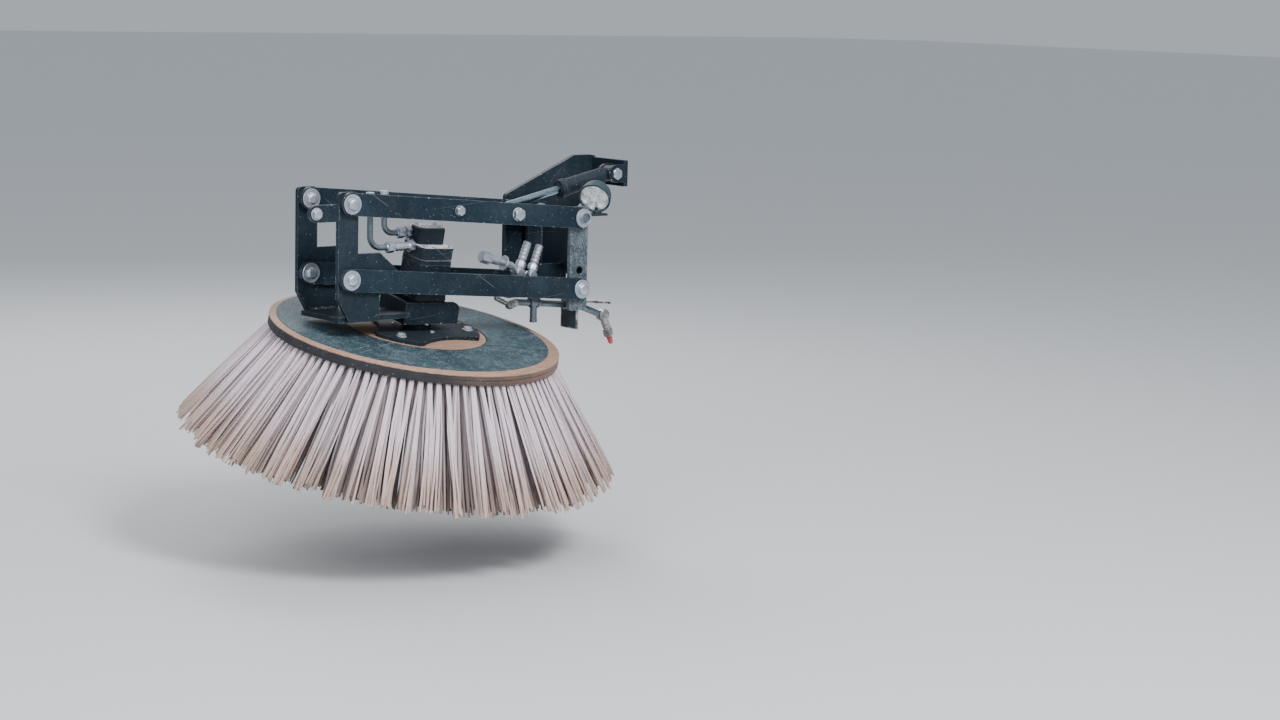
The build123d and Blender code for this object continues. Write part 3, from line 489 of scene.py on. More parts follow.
for name, body, replaced, upper, lower in (
    ("frame_pivots", "mount_frame", "frame_pivot_bolts", (0, 75), (0, -75)),
    ("head_pivots", "brush_head", "head_pivot_bolts", (-575.97, 123.37), (-575.97, -26.63)),
):
    bolts = []
    for bar_face in (-198, -48):
        bolts += pivot_bolt(*upper, bar_face, bored=body == "mount_frame") + pivot_bolt(*lower, bar_face)
    piece(name, bolts, [zinc, dusty_steel], body, [replaced])


# Brush head
# Two cut plates stand between the arms' outer ends. A bridge plate and an open tray for the motor are welded
# between them, and a drilled lug is welded to the outer edge of the front one.
head_paint = painted_steel("head_paint", (0.004, 0.011, 0.019), (0.010, 0.022, 0.034), 0.09, 0.9, 0.030)
finish(head_paint, "head_cheek_front", "head_cheek_rear", "motor_bracket", "stay_lug")
head_welds = [weld((-0.569, y, -0.1026), (-0.505, y, -0.1026), 0.004) for y in (-0.176, -0.036)]
head_welds += [weld((-0.5988, y, 0.0905), (-0.5988, y, 0.1215), 0.0032) for y in (-0.186, -0.178)]
piece("head_welds", head_welds, [head_paint], "brush_head")
stay = (-649.97, 106)
stay_bolt = [
    washer(forwards(*stay, -186), 0.0016, 0.0125, 0.003), hexagon(forwards(*stay, -187.6), 0.0058, 0.0105, 0.0091),
    rod(backwards(*stay, -186), 0.008, 0.006), hexagon(backwards(*stay, -178), 0.0094, 0.010, 0.0087)]
piece("stay_bolt", stay_bolt, [zinc], "brush_head", ["stay_lug_bolt"])


# Motor
# Hydraulic motor, a cast-iron body of plates held by four screws through its corners, painted black. Pale dust
# and painted light lie on the ledge round its end cover. It stands in the tray and turns the hub through its shaft.
# Its level faces are laid over with pale colour: dust, and painted light on the lit ledge.
motor_paint = painted_steel("motor_paint", (0.006, 0.013, 0.021), (0.014, 0.026, 0.037), 0.25, 0.7, 0.030,
                            top_dust_and_light=1.0)
finish(motor_paint, "motor_body", "motor_cover")
brush_axis = unit((math.tan(math.radians(2.91)), math.tan(math.radians(-10)), 1))
brush_along = unit(np.array((1, 0, 0)) - brush_axis * brush_axis[0])
brush_across = np.cross(brush_axis, brush_along)
brush_centre = np.array((-0.359, -0.105, -0.154))


def on_brush(u, v, w):
    """Points from the brush's own frame, in metres: u along the arms, v across them, w up the brush's axis."""
    u, v, w = np.broadcast_arrays(u, v, w)
    return brush_centre + u[..., None] * brush_along + v[..., None] * brush_across + w[..., None] * brush_axis


def up_brush(u, v, w, reach=0.1):
    """A line up the brush's axis, or down it if reach is below 0."""
    return on_brush(u, v, w), on_brush(u, v, w + reach)


def cap_screw(u, v, w, radius, height):
    """A round screw head with a socket."""
    return turned(up_brush(u, v, w), [
        (0, 0), (0, radius), (height - 0.0006, radius), (height, radius - 0.0006), (height, 0.56 * radius),
        (height - 0.0030, 0.52 * radius), (height - 0.0030, 0)], 24)


motor_screws = [cap_screw(u, -0.0313, 0.188, 0.0046, 0.0056) for u in (-0.0313, 0.0313)]
motor_screws += [cap_screw(u, v, 0.222, 0.0038, 0.0040) for u in (-0.0225, 0.0225) for v in (0.0005, 0.0225)]
motor_screws += [cap_screw(u, v, 0.041, 0.0052, 0.0070) for u in (-0.050, 0.050) for v in (-0.030, 0.030)]
motor_screws += [hexagon(up_brush(u, v, 0.0312, -0.1), 0.0036, 0.0055, 0.0048)
                 for u, v in ((-0.007, -0.042), (0.059, -0.038), (-0.007, 0.042), (0.059, 0.038))]
piece("motor_screws", motor_screws, [zinc], "brush_head")


def band(w_low):
    """A raised band 3 mm tall round the square body: its section goes out, up and back, carried round a square
    whose corners are arcs."""
    half, corner, w_high, proud = 0.039, 0.012, w_low + 0.0030, 0.0010
    angle = np.linspace(0, 2 * np.pi, 96, endpoint=False)
    side = np.floor(angle / (np.pi / 2)) * np.pi / 2 + np.pi / 4
    turn = side + np.clip((angle % (np.pi / 2) - np.pi / 4) * 3, -np.pi / 4, np.pi / 4)
    middle = (half - corner) * np.sqrt(2) * np.stack([np.cos(side), np.sin(side)])
    section = ((w_low, -0.0004), (w_low, proud - 0.0003), (w_low + 0.0003, proud), (w_high - 0.0003, proud),
               (w_high, proud - 0.0003), (w_high, -0.0004), (w_low, -0.0004))
    return np.array([on_brush(*(middle + (corner + out) * np.stack([np.cos(turn), np.sin(turn)])), w)
                     for w, out in section])


bands = [band(w_low) for w_low in (0.078, 0.104, 0.150, 0.1845)]
piece("motor_plates", bands, [head_paint], "brush_head")


# Motor pipes
# Two plated steel pipes, bent cold to a quarter turn, run down and across into the motor's ports. Union nuts
# clamp them on threaded adapters, and crimped ferrules close their upper ends.


def bent(points, bend):
    """A path of straight runs with a round bend at each corner: the runs are cut back by bend * tan(half the
    turn), and an arc with a point every 2 mm, which touches both, joins them."""
    points = np.asarray(points, float)
    path = [points[0]]
    for before, corner, after in zip(points, points[1:], points[2:]):
        come, go = unit(corner - before), unit(after - corner)
        turn = math.acos(float(np.clip(come @ go, -1, 1)))
        square = unit(go - come * (come @ go))
        angle = np.linspace(0, turn, max(4, int(bend * turn / 0.002)))[:, None]
        arc_start = corner - come * bend * math.tan(turn / 2)
        path += list(arc_start + bend * (np.sin(angle) * come + (1 - np.cos(angle)) * square))
    return np.array(path + [points[-1]])


def ferrule(start, end):
    """A hose ferrule of 9 mm radius, crimped in rings: its radius dips in a row of rounded grooves."""
    length = np.linalg.norm(np.subtract(end, start))
    t = np.linspace(0, 1, 49)
    dip = 0.11 * np.maximum(0, np.sin(2 * np.pi * t * 5)) ** 0.5 * (t < 0.9)
    rim = np.minimum(1, 0.86 + 2.4 * np.minimum(t, 1 - t))
    return turned((start, end), [(0, 0), *zip(t * length, 0.009 * rim * (1 - dip)), (length, 0)], 28)


pipes, fittings = [], []
# Columns, in metres: x of the upright, y, height of the level run, bend, x of the nut, x of the port
for upright_x, y, level, bend, nut, port in (
    (-0.494, -0.138, 0.028, 0.024, -0.454, -0.391), (-0.446, -0.116, 0.054, 0.020, -0.414, -0.384)
):
    path = bent([(upright_x, y, 0.118), (upright_x, y, level), (nut + 0.002, y, level)], bend)
    pipes.append(along_path(path, 0.006))
    cone, union, thread, adapter = (((x, y, level), (x + 0.1, y, level))
                                    for x in (nut - 0.002, nut, nut + 0.016, port - 0.010))
    gap = port - 0.010 - nut - 0.016
    fittings += [
        turned(cone, [(0, 0), (0, 0.0068), (0.003, 0.0080), (0.004, 0.0080), (0.004, 0)], 24),
        hexagon(union, 0.0154, 0.012, 0.0104),
        turned(thread, [(0, 0), *[(gap * k / 8, 0.0092 - 0.0013 * (k % 2)) for k in range(9)], (gap, 0)]),
        hexagon(adapter, 0.0113, 0.013, 0.01126), ferrule((upright_x, y, 0.118), (upright_x, y, 0.140))]
piece("motor_feed_pipes", pipes, [dusty_steel], "brush_head", ["motor_pipes"])
piece("motor_pipe_nuts", fittings, [zinc], "brush_head", ["motor_pipe_fittings"])


# Brush board
# Two discs of plywood screwed together. The top edge is worn to a bare bevel; the rim is brown with dirt, darker
# with painted shade towards -u and paler with painted light towards +u. A grey facing covers the upper disc except
# for a round window, where the black hub plate is bolted to the bare wood; a line of painted shade follows the
# window's edge.


def in_brush(place):
    """Object coordinates turned into the brush's own frame, and that frame's u, v and w."""
    axes = Matrix((brush_along, brush_across, brush_axis)).transposed().to_euler()
    own = node(place, "Mapping", vector_type="TEXTURE", Vector=place, Location=tuple(brush_centre),
               Rotation=tuple(axes))
    parts = node(place, "SeparateXYZ", own)
    return own, parts["X"], parts["Y"], parts["Z"]


plywood, place = material("plywood")
own, u, v, w = in_brush(place)
grain = noise(own, 26, 7, 0.6, (1, 9, 9))
figure = ramp(noise(own, 90, 4, 0.6, (0.6, 7, 7)), 0.55, 0.75)
wood = layered((0.36, 0.195, 0.125), (ramp(grain, 0.32, 0.68), (0.53, 0.315, 0.215)),
               (figure * 0.45, (0.26, 0.14, 0.08)))
ply_height = 0.0034
plies = ramp(noise(own, 60, 4) * 0.9 + (w * (2 * math.pi / ply_height)).math("SINE"), 0.1, 0.9)
streak = ramp(noise(own, 16, 6, 0.65, (1, 1, 2.2)), 0.38, 0.66)
# Towards -u the rim is laid over with dark blue-grey, which is painted shade, and towards +u with a paler
# pink-brown, which is painted light.
end_grain_lit_and_shaded = layered(
    (0.105, 0.062, 0.046), (plies, (0.205, 0.130, 0.092)), (streak * 0.75, (0.075, 0.055, 0.055)),
    (ramp(u, 0.05, -0.17) * 0.92, (0.016, 0.021, 0.029)), (ramp(u, 0.02, 0.24) * 0.60, (0.36, 0.215, 0.18)))
rim = ramp(noise(own, 70, 5) * 0.0030 + w, 0.0012, -0.0006)
seam = ramp(abs(w + 0.010), 0.0009, 0.0003)
board_colour = layered(
    wood, (rim, end_grain_lit_and_shaded), (seam, (0.02, 0.015, 0.012)),
    (part_of(place, road_dust, Amount=0.16, Scale=14), (0.42, 0.38, 0.37)),
    (part_of(place, specks, Scale=300, Share=0.06, Size=0.24), (0.36, 0.33, 0.32)))
surface(plywood, grain * 0.5 + streak * rim, 0.0006, Base_Color=board_colour, Roughness=rim * 0.15 + 0.66)
finish(plywood, "brush_disc")

facing, place = material("disc_facing")
own, u, v, w = in_brush(place)
cloud = ramp(noise(own, 9, 8, 0.66), 0.34, 0.68)
mottle = ramp(noise(own, 55, 6, 0.7), 0.46, 0.66)
dark = ramp(noise(own, 130, 4, 0.6), 0.56, 0.68)
scratch = part_of(place, scratches, Amount=0.4, Share=0.08)
# A crack in the facing runs from the window outwards along v = -0.126 - 6 (u - 0.11) squared.
from_crack = abs((u - 0.11) ** 2.0 * 6.0 + (v + 0.126))
crack = ramp(from_crack, 0.0030, 0.0014) * ramp(u, 0.085, 0.10) * ramp(u, 0.26, 0.20)
# A line of painted shade runs along the window's edge, 146 mm from the middle, where the facing steps down to the
# wood.
window_edge_shade = ramp((u ** 2.0 + v ** 2.0).math("SQRT"), 0.1490, 0.1472)
splashes = [(part_of(place, specks, Scale=scale, Share=share, Size=size), (0.33, 0.37, 0.39))
            for scale, share, size in ((330, 0.20, 0.33), (170, 0.07, 0.20))]
facing_colour = layered(
    (0.020, 0.054, 0.072), (cloud, (0.056, 0.106, 0.128)), (mottle * 0.55, (0.165, 0.215, 0.232)),
    (dark * 0.55, (0.017, 0.030, 0.042)), (scratch, (0.24, 0.28, 0.30)), (crack, (0.006, 0.012, 0.018)),
    (window_edge_shade, (0.008, 0.012, 0.018)), *splashes)
surface(facing, cloud + dark * -0.6, 0.0007, Base_Color=facing_colour, Roughness=mottle * 0.2 + 0.58)
finish(facing, "brush_disc_skin")

hub_paint = painted_steel("hub_paint", (0.004, 0.010, 0.017), (0.009, 0.020, 0.030), 0.05, 0.6, 0.10)
finish(hub_paint, "hub_plate")
hub_heads = []
for lobe in np.radians((-140, -20, 100)):
    u, v = 0.110 * math.cos(lobe), 0.110 * math.sin(lobe)
    hub_heads += [washer(up_brush(u, v, 0.0135), 0.0020, 0.011, 0.003),
                  hexagon(up_brush(u, v, 0.0155), 0.0050, 0.009, 0.0078)]
for lobe in np.radians((40, 160, -80)):
    hub_heads.append(turned(up_brush(0.047 * math.cos(lobe), 0.047 * math.sin(lobe), 0.0135), [
        (0, 0), (0, 0.0055), (0.0015, 0.0052), (0.0027, 0.0036), (0.0031, 0)], 24))
piece("hub_plate_bolts", hub_heads, [zinc], "brush", ["hub_bolts"])


# Bristles
# Flat plastic bristles, folded in half and stapled in bunches into 294 drilled holes in three rings of the lower
# board. They splay outwards, stay nearly straight, and are brown with dirt and worn uneven at their tips. The
# middle and inner rings are darker, as painted shade.


def bunches(root_radius, tip_radius, depth, number, turned_by, strands_round, leaning, seed):
    """The bristles of one ring, as arrays of root, bow and tip. Each bunch is a small grid of strands that spreads
    to two and a half times its width. Every tip is moved, and every middle bowed, by a little at random."""
    chance = np.random.default_rng(seed)
    strands_out = 2
    count = (number, strands_round, strands_out)
    angle = (np.arange(number)[:, None, None] + turned_by) * 2 * np.pi / number
    round_step = np.linspace(-1, 1, strands_round)[None, :, None]
    out_step = np.linspace(-1, 1, strands_out)[None, None, :]
    lean = np.clip(chance.normal(0, leaning, (number, 1, 1)), -0.021, 0.021)
    across_root = 0.0036 * round_step * np.sqrt(1 - 0.45 * out_step**2)
    across_tip = 0.0090 * round_step * np.sqrt(1 - 0.3 * out_step**2) + lean + chance.normal(0, 0.0028, count)
    out_tip = np.clip(0.0092 * out_step + chance.normal(0, 0.0026, count), -0.0115, 0.0105)
    reach = 1 - np.abs(chance.normal(0, 0.028, count)) - np.abs(chance.normal(0, 0.020, (number, 1, 1)))
    out, side = np.stack([np.cos(angle), np.sin(angle)]), np.stack([-np.sin(angle), np.cos(angle)])

    def at(radius, shift, w):
        return np.stack([*(out * radius + side * shift), np.full(count, w)], -1)

    root = at(root_radius + 0.0030 * out_step, across_root, -0.0170)
    tip = at(tip_radius + out_tip, np.clip(across_tip, -0.030, 0.030), -depth - 0.005)
    tip = root + (tip - root) * reach[..., None]
    bow = at(chance.normal(0, 0.0022, count), chance.normal(0, 0.0030, count), 0.0)
    return root.reshape(-1, 3), bow.reshape(-1, 3), tip.reshape(-1, 3), chance


def bristle_ring(name, row, cleanness_and_light):
    """Each strand is a flat bar of four sides in three lengths, carried from root to tip along a shallow arc:
    root + (tip - root) t + bow sin(pi t). Its attribute dirt is t, and shade is one random number a strand up to
    the cleanness of its ring, of the power 0.6: a cleanness below 1 darkens a ring with painted shade."""
    root, bow, tip, chance = bunches(*row)
    count = len(root)
    t = np.array((0.0, 0.38, 0.72, 1.0))
    line = root[:, None] + (tip - root)[:, None] * t[:, None] + bow[:, None] * np.sin(np.pi * t)[:, None]
    direction = unit(tip - root)
    twist = chance.uniform(-0.6, 0.6, count)[:, None]
    wide = unit(np.cross(direction, (0, 0, 1)))
    thick = np.cross(wide, direction)
    wide, thick = wide * np.cos(twist) + thick * np.sin(twist), thick * np.cos(twist) - wide * np.sin(twist)
    wide, thick = wide * chance.uniform(0.0017, 0.0023, count)[:, None], thick * 0.0009
    corners = np.stack([wide + thick, thick - wide, -wide - thick, wide - thick], 1)
    points = line[:, :, None] + corners[:, None] * (1 - 0.12 * t)[:, None, None]
    side = np.array([[a, (a + 1) % 4, (a + 1) % 4 + 4, a + 4] for a in range(4)])
    faces = np.concatenate([side, side + 4, side + 8, [[12, 13, 14, 15], [3, 2, 1, 0]]])
    faces = (faces[:, ::-1] + np.arange(count)[:, None, None] * 16).reshape(-1, 4)
    mesh = bpy.data.meshes.new(name)
    mesh.from_pydata(on_brush(*points.reshape(-1, 3).T).tolist(), [], faces.tolist())
    for label, values in (("dirt", np.tile(np.repeat(t, 4), count)),
                          ("shade", np.repeat(cleanness_and_light * chance.uniform(0, 1, count) ** 0.6, 16))):
        mesh.attributes.new(label, "FLOAT", "POINT").data.foreach_set("value", values.astype(np.float32))
    mesh.materials.append(bristle)
    made = shown(name, mesh)
    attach(made, "brush")
    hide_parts("bristle_board")


bristle, place = material("bristle")
dirt, shade = (node(place, "Attribute", attribute_name=name)["Fac"] for name in ("dirt", "shade"))
# Strands with a low shade value are darker, tips included: random tone, and on the middle and inner rings painted
# shade.
tone_and_shade = ramp(shade, 0.0, 0.50)
ragged = noise(place, 90, 3) * 0.34 + (shade * 0.22 + dirt)
brown = layered((0.13, 0.10, 0.085), (tone_and_shade, (0.50, 0.35, 0.265)))
bristle_colour = layered(
    (0.12, 0.11, 0.13), (tone_and_shade, (0.83, 0.715, 0.81)),
    (ramp(noise(place, 11, 4), 0.35, 0.65) * 0.30, (0.66, 0.53, 0.47)),
    (ramp(ragged, 0.70, 1.24) * 0.84, brown), (ramp(ragged, 1.24, 1.44) * 0.45, (0.16, 0.11, 0.08)),
    (ramp(noise(place, 300, 3, 0.6, (1, 1, 0.05)), 0.50, 0.72) * 0.25, (0.36, 0.27, 0.22)),
    (ramp(dirt, 0.10, 0.0) * 0.4, (0.30, 0.25, 0.23)))
surface(bristle, noise(place, 500, 3, 0.6, (1, 1, 0.1)), 0.0003, Base_Color=bristle_colour, Roughness=0.52)
# Columns: radius at the board and at the tips, depth, bunches, their turn, strands side by side, lean, seed
rows = ((0.286, 0.449, 0.239, 104, 0.0, 5, 0.0110, 3), (0.266, 0.419, 0.246, 98, 0.5, 6, 0.0070, 5),
        (0.246, 0.389, 0.252, 92, 0.0, 6, 0.0050, 8))
# The middle and inner rings get a low last value, which darkens them with painted shade.
bristle_ring("bristles_outer", rows[0], 1.0)
bristle_ring("bristles_middle", rows[1], 0.34)
bristle_ring("bristles_inner", rows[2], 0.20)

holes = []
for radius, _, _, number, turned_by, *_ in rows:
    for place_in_ring in range(number):
        angle = 2 * math.pi * (place_in_ring + turned_by) / number
        holes.append((turned(up_brush(radius * math.cos(angle), radius * math.sin(angle), -0.0203, -0.1), [
            (0, 0.0077), (0.0009, 0.0071), (0.0009, 0.0062), (0, 0.0058), (0, 0.0077)], 10), 1))
board = turned(up_brush(0, 0, -0.0206), [
    (0, 0), (0, 0.2985), (0.0004, 0.2995), (0.0014, 0.300), (0.0102, 0.300), (0.0106, 0.2994), (0.0106, 0)], 144)
grime, place = material("hole_grime")
surface(grime, noise(place, 600, 3), 0.0004, Roughness=0.9,
        Base_Color=layered((0.03, 0.022, 0.018), (noise(place, 200, 3), (0.12, 0.09, 0.07))))
piece("lower_board", [board] + holes, [plywood, grime], "brush", ["bristle_board"])


# Lift cylinder
# A small hydraulic cylinder between the frame's ears and the lift pin raises the head. Painted steel barrel with
# a screwed gland and a wiper ring; hard-chromed rod with a welded eye.
finish(frame_paint, "lift_cylinder_barrel")
chrome, place = material("rod_chrome")
film = part_of(place, road_dust, Amount=0.55, Scale=18)
rings = noise(place, 900, 2, 0.5, (1, 0.02, 0.02))
# The rod's dark blue-teal base colour stands for chrome in shade: painted shade and a painted reflection of bluish
# surroundings.
chrome_dust_and_shade = layered((0.28, 0.40, 0.47), (ramp(noise(place, 40, 4), 0.4, 0.7), (0.19, 0.29, 0.35)),
                        (film, (0.30, 0.33, 0.35)))
surface(chrome, rings, 0.00001, Base_Color=chrome_dust_and_shade, Roughness=film * 0.4 + (rings * 0.03 + 0.16),
        Metallic=film * -0.7 + 1.0)
finish(chrome, "lift_cylinder_rod")

anchor_eye, lift_eye = np.array((0.144, -0.105, 0.1588)), np.array((lift[0] / 1000, -0.105, lift[1] / 1000))
cylinder_run = unit(lift_eye - anchor_eye)
gland_face, neck = anchor_eye + cylinder_run * 0.142, anchor_eye + cylinder_run * 0.0175
cylinder_parts = [
    turned((gland_face - cylinder_run * 0.016, gland_face), [
        (0, 0.0178), (0, 0.0196), (0.0006, 0.0200), (0.0060, 0.0200), (0.0066, 0.0192), (0.0082, 0.0192),
        (0.0088, 0.0200), (0.0144, 0.0200), (0.0150, 0.0192), (0.0160, 0.0120), (0.0172, 0.0115), (0.0172, 0.0083),
        (0.0100, 0.0083), (0, 0.0178)]),
    turned((neck, gland_face), [
        (0, 0.0122), (0.0010, 0.0148), (0.0032, 0.0158), (0.0058, 0.0166), (0.0076, 0.0178), (0.0076, 0.0122),
        (0, 0.0122)])]
for back in (0.035, 0.109):
    port = anchor_eye + cylinder_run * back + (0, 0.022, 0)
    cylinder_parts.append((hexagon((port, port + (0, 0.1, 0)), 0.0075, 0.0096, 0.0083), 1))
piece("cylinder_gland_and_ports", cylinder_parts, [frame_paint, zinc], "cylinder_barrel")
anchor_pin = [hexagon(forwards(144, 158.8, -126), 0.0074, 0.013, 0.01126),
              rod(backwards(144, 158.8, -126), 0.042, 0.008),
              hexagon(backwards(144, 158.8, -84), 0.0094, 0.012, 0.0104)]
piece("anchor_pin", anchor_pin, [zinc], "mount_frame", ["cylinder_anchor_pin"])


# Work lamp
# Round lamp on an angle bracket, turned towards the brush: a round painted bowl, a bright moulded
# reflector with seven cups, a small light source in each, and a clear cover held by a rim.
lens_middle, lens_facing = np.array((0.047, -0.174, 0.112)), unit((-0.72, -0.512, -0.469))
lens_side = unit(np.cross((0, 0, 1), lens_facing))
lens_up = np.cross(lens_facing, lens_side)


def on_lens(profile, sides=48):
    """A part turned about the lamp's axis; distances are from the rim's plane, backwards negative."""
    return turned((lens_middle, lens_middle + lens_facing), profile, sides)


# The bowl's back is rounded: its radius is 0.012 + 0.021 sqrt(1 - (1 - s)^2) over 24 mm, s from 0 to 1.
s = np.linspace(0, 1, 14)
bowl = [(-0.038, 0), (-0.038, 0.0112), *zip(-0.038 + 0.024 * s, 0.012 + 0.0210 * np.sqrt(1 - (1 - s) ** 2)),
        (-0.0098, 0.0338), (-0.0094, 0.0332), (-0.0086, 0.0332), (-0.0082, 0.0344), (-0.0050, 0.0350),
        (-0.0006, 0.0350), (0, 0.0345), (0, 0.0318), (-0.0012, 0.0310), (-0.0165, 0.0308), (-0.0165, 0)]
lamp_paint = painted_steel("lamp_paint", (0.005, 0.020, 0.030), (0.012, 0.038, 0.052), 0.16, 0.5, 0.03)
stud = rod(((0.064, -0.163, 0.0795), (0.064, -0.163, 0.1)), 0.014, 0.005)
stud_nut = hexagon(((0.064, -0.163, 0.080), (0.064, -0.163, 0.1)), 0.0052, 0.0088, 0.0076, (0, 1, 0))
piece("lamp_shell", [on_lens(bowl), stud, stud_nut], [lamp_paint], "mount_frame", ["lamp_housing"])

# The reflector is given a near-white, half-diffuse colour: a painted reflection of a bright sky in its chrome.
mirror, place = material("lamp_mirror")
surface(mirror, Metallic=0.45, Roughness=0.24,
        Base_Color=layered((0.86, 0.90, 0.93), (noise(place, 60, 3), (0.95, 0.97, 0.99))))
radial, angle = np.meshgrid(np.linspace(0, 0.0306, 64), np.linspace(0, 2 * np.pi, 144, endpoint=False),
                            indexing="ij")
flat_x, flat_y = radial * np.cos(angle), radial * np.sin(angle)
cups = [(0.0, 0.0)] + [(0.0196 * math.cos(a), 0.0196 * math.sin(a)) for a in np.radians(np.arange(0, 360, 60) + 12)]
# Height of the reflector: over each cup a parabola, 11 mm deep, and where cups meet the higher of the two.
from_cup = np.min([np.hypot(flat_x - x, flat_y - y) for x, y in cups], axis=0)
depth = -0.0042 - 0.0105 * np.clip(1 - (from_cup / 0.0106) ** 2, 0, 1)
# Two more rings close its back, 16 mm behind the rim.
flat_x, flat_y = (np.vstack([flat, flat[-1], 0 * flat[-1]]) for flat in (flat_x, flat_y))
depth = np.vstack([depth, np.full((2, depth.shape[1]), -0.0160)])
reflector = (lens_middle + flat_x[..., None] * lens_side + flat_y[..., None] * lens_up
             + depth[..., None] * lens_facing)
piece("lamp_reflector", [reflector], [mirror], "mount_frame", crease=50)
chip, place = material("lamp_chip")
surface(chip, Roughness=0.45, Base_Color=layered((0.82, 0.80, 0.66), (noise(place, 400, 2), (0.92, 0.90, 0.80))))
chips = []
for x, y in cups:
    foot = lens_middle + x * lens_side + y * lens_up - 0.0149 * lens_facing
    chips.append(turned((foot, foot + lens_facing), [
        (0, 0), (0, 0.0026), (0.0008, 0.0026), (0.0016, 0.0018), (0.0020, 0)], 20))
piece("lamp_chips", chips, [chip], "mount_frame")
glass, place = material("lamp_glass")
surface(glass, noise(place, 300, 2), 0.00004, Transmission_Weight=1.0, IOR=1.49, Base_Color=(0.93, 0.96, 0.97),
        Alpha=0.35, Roughness=ramp(noise(place, 70, 5), 0.45, 0.75) * 0.20 + 0.02)
cover = on_lens([(-0.0036, 0), (-0.0036, 0.0304), (-0.0016, 0.0308), (-0.0014, 0.0300), (-0.0010, 0.0150),
                 (-0.0008, 0)], 72)
piece("lamp_cover", [cover], [glass], "mount_frame", ["lamp_lens"])


# Water spray line
# A steel pipe with a tee brings water along a bracket to a jointed nozzle aimed at the brush: brass body, hexagon
# cap and red tip. Its other end is a barbed hose end.
# Its rubbed edges are pinkish white and its level top is pale: worn edges and dust, brightened as painted
# highlight.
bracket_paint = painted_steel("bracket_paint", (0.010, 0.020, 0.030), (0.028, 0.044, 0.058), 0.3, 2.4, 0.06,
                              top_dust_and_light=1.0, rub=0.0065, bare=(0.82, 0.76, 0.79))
finish(bracket_paint, "spray_bracket")


def in_line(*points):
    """Points of the spray line and hose fittings from x and z, all in one upright plane along the arms."""
    return [(x, -0.135, z) for x, z in points]


spray_parts = [
    along_path(bent(in_line((-0.122, -0.103), (0.036, -0.118), (0.098, -0.141)), 0.030), 0.007),
    turned(in_line((-0.090, -0.104), (-0.066, -0.107)), [
        (0, 0.0065), (0, 0.0104), (0.0008, 0.0110), (0.0056, 0.0110), (0.0062, 0.0100), (0.0180, 0.0100),
        (0.0186, 0.0110), (0.0234, 0.0110), (0.0242, 0.0104), (0.0242, 0.0065), (0, 0.0065)], 28),
    turned(in_line((-0.079, -0.110), (-0.079, -0.2)), [
        (0, 0), (0, 0.0080), (0.0080, 0.0080), (0.0084, 0.0074), (0.0290, 0.0074), (0.0296, 0.0080),
        (0.0372, 0.0080), (0.0380, 0.0072), (0.0380, 0.0050), (0.0330, 0.0050), (0.0330, 0)], 28)]
piece("spray_water_pipe", spray_parts, [dusty_steel], "mount_frame", ["spray_pipe"])
brass, place = material("brass")
dull = ramp(noise(place, 80, 5), 0.35, 0.65)
film = part_of(place, road_dust, Amount=0.8, Scale=26)
surface(brass, noise(place, 500, 3), 0.0001, Roughness=dull * 0.25 + 0.30, Metallic=film * -0.75 + 1.0,
        Base_Color=layered((0.50, 0.49, 0.47), (dull, (0.22, 0.24, 0.25)), (film, (0.60, 0.58, 0.60))))


def joint_ball(x, z, radius):
    """A round jointed body on a cross screw, turned about Y: a rounded drum with a raised cap on each face."""
    half, (x, y, z) = 0.8 * radius, in_line((x, z))[0]
    rim = [(0, 0), (0, 0.30 * radius), (0.0010, 0.34 * radius), (0.0010, 0.62 * radius), (0.0016, 0.80 * radius),
           (0.0034, 0.95 * radius), (half * 0.75, radius)]
    return turned(((x, y - half, z), (x, y, z)), rim + [(2 * half - along, r) for along, r in reversed(rim)], 32)


barb_line = in_line((-0.180, -0.090), (-0.146, -0.106))
barb_length = math.dist(*barb_line)
barbs = [(0, 0), (0, 0.0036)]
for tooth in np.arange(5) * 0.0054:
    barbs += [(0.0008 + tooth, 0.0042), (0.0050 + tooth, 0.0056), (0.0054 + tooth, 0.0044)]
barbs += [(barb_length, 0.0044), (barb_length, 0)]
hose_end = [turned(barb_line, barbs, 28), joint_ball(-0.141, -0.107, 0.010),
            hexagon(in_line((-0.134, -0.1055), (-0.122, -0.103)), 0.0112, 0.0088, 0.0076)]
piece("spray_barb", hose_end, [brass], "mount_frame", ["spray_hose_end"])
nozzle = [joint_ball(0.108, -0.144, 0.014),
          turned(in_line((0.108, -0.144), (0.122, -0.176)), [
              (0, 0), (0, 0.0088), (0.0230, 0.0088), (0.0238, 0.0078), (0.0252, 0.0078), (0.0260, 0.0090),
              (0.0349, 0.0090), (0.0349, 0)], 28),
          hexagon(in_line((0.120, -0.172), (0.127, -0.190)), 0.0185, 0.012, 0.0104)]
piece("spray_nozzle_body", nozzle, [brass], "mount_frame", ["spray_nozzle"])
red_plastic, place = material("red_plastic")
film = part_of(place, road_dust, Amount=0.6, Scale=30)
red = layered((0.36, 0.032, 0.045), (noise(place, 90, 4), (0.50, 0.060, 0.070)), (film, (0.42, 0.34, 0.34)))
surface(red_plastic, noise(place, 500, 2), 0.00008, Base_Color=red, Roughness=0.38)
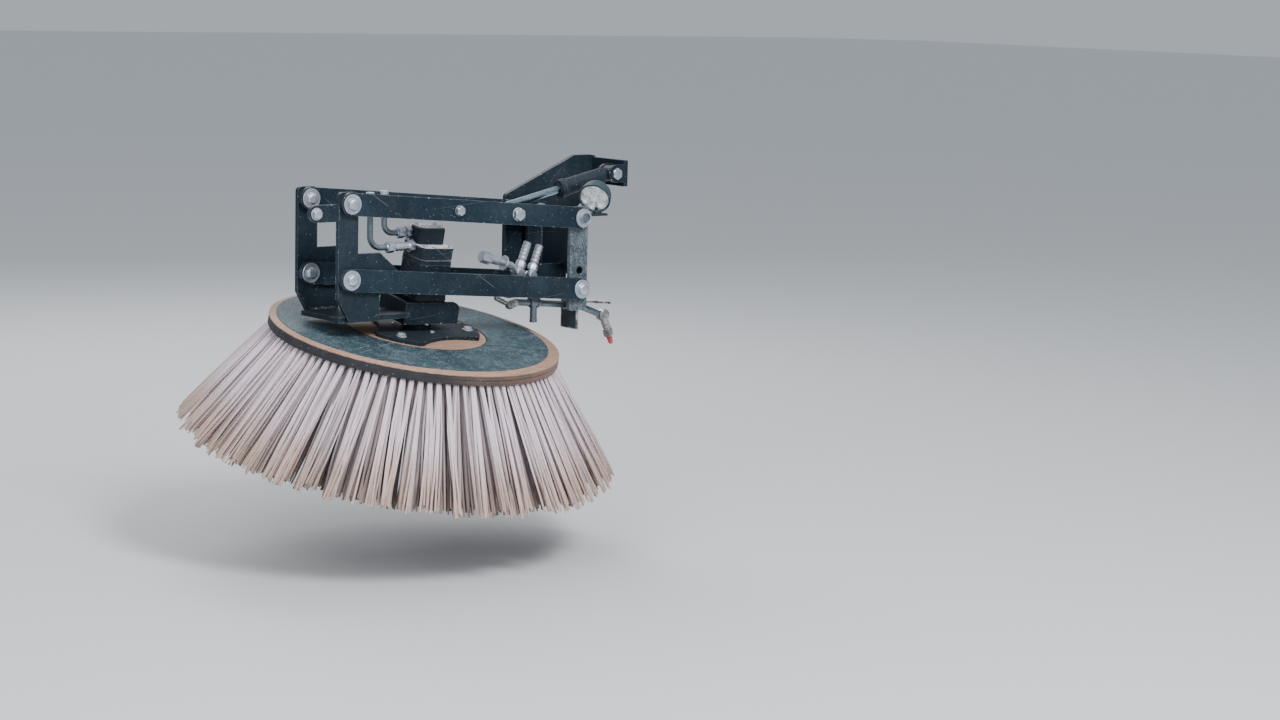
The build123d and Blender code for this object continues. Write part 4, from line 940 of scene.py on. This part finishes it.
tip = turned(in_line((0.127, -0.190), (0.134, -0.208)), [
    (0, 0), (0, 0.0060), (0.0090, 0.0060), (0.0096, 0.0055), (0.0150, 0.0053), (0.0178, 0.0042), (0.0193, 0.0026),
    (0.0193, 0.0014), (0.0175, 0.0010), (0.0175, 0)], 28)
piece("spray_red_tip", [tip], [red_plastic], "mount_frame", ["spray_nozzle_tip"])


# Hose fittings
# Two angled hose ends, screwed through a strip on the frame's web, and a coupling with a guard washer between
# them. Zinc-plated, with crimped ferrules that point up.
hose_parts = []
for x, z in ((-0.131, -0.040), (-0.099, -0.048)):
    elbow, nut_line, crimp = (in_line((x + a, z + b), (x + c, z + d)) for a, b, c, d in (
        (0.010, 0, 0.016, 0.016), (0.014, 0.011, 0.019, 0.024), (0.019, 0.024, 0.034, 0.063)))
    hose_parts += [
        turned(((x + 0.010, -0.147, z), (x + 0.010, -0.1, z)), [
            (0, 0), (0, 0.0088), (0.0012, 0.0100), (0.0060, 0.0100), (0.0066, 0.0088), (0.0170, 0.0088),
            (0.0176, 0.0100), (0.0260, 0.0100), (0.0260, 0)], 30),
        rod(elbow, 0.0171, 0.008), hexagon(nut_line, 0.0133, 0.011, 0.0095, (0, 1, 0)), ferrule(*crimp)]
piece("hose_end_pair", hose_parts, [zinc], "mount_frame", ["hose_ends"])
coupling = [
    hexagon(in_line((-0.217, -0.002), (-0.194, -0.008)), 0.0232, 0.013, 0.01126),
    turned(in_line((-0.194, -0.008), (-0.166, -0.016)), [
        (0, 0), (0, 0.0090), (0.0070, 0.0090), (0.0075, 0.0080), (0.0110, 0.0080), (0.0115, 0.0090),
        (0.0200, 0.0090), (0.0205, 0.0078), (0.0291, 0.0078), (0.0291, 0)], 30),
    washer(in_line((-0.160, -0.018), (-0.155, -0.0195)), 0.0030, 0.016, 0.006),
    along_path(bent(in_line((-0.166, -0.016), (-0.140, -0.0235), (-0.127, -0.034)), 0.010), 0.0068)]
piece("hose_union", coupling, [zinc], "mount_frame", ["hose_coupling"])
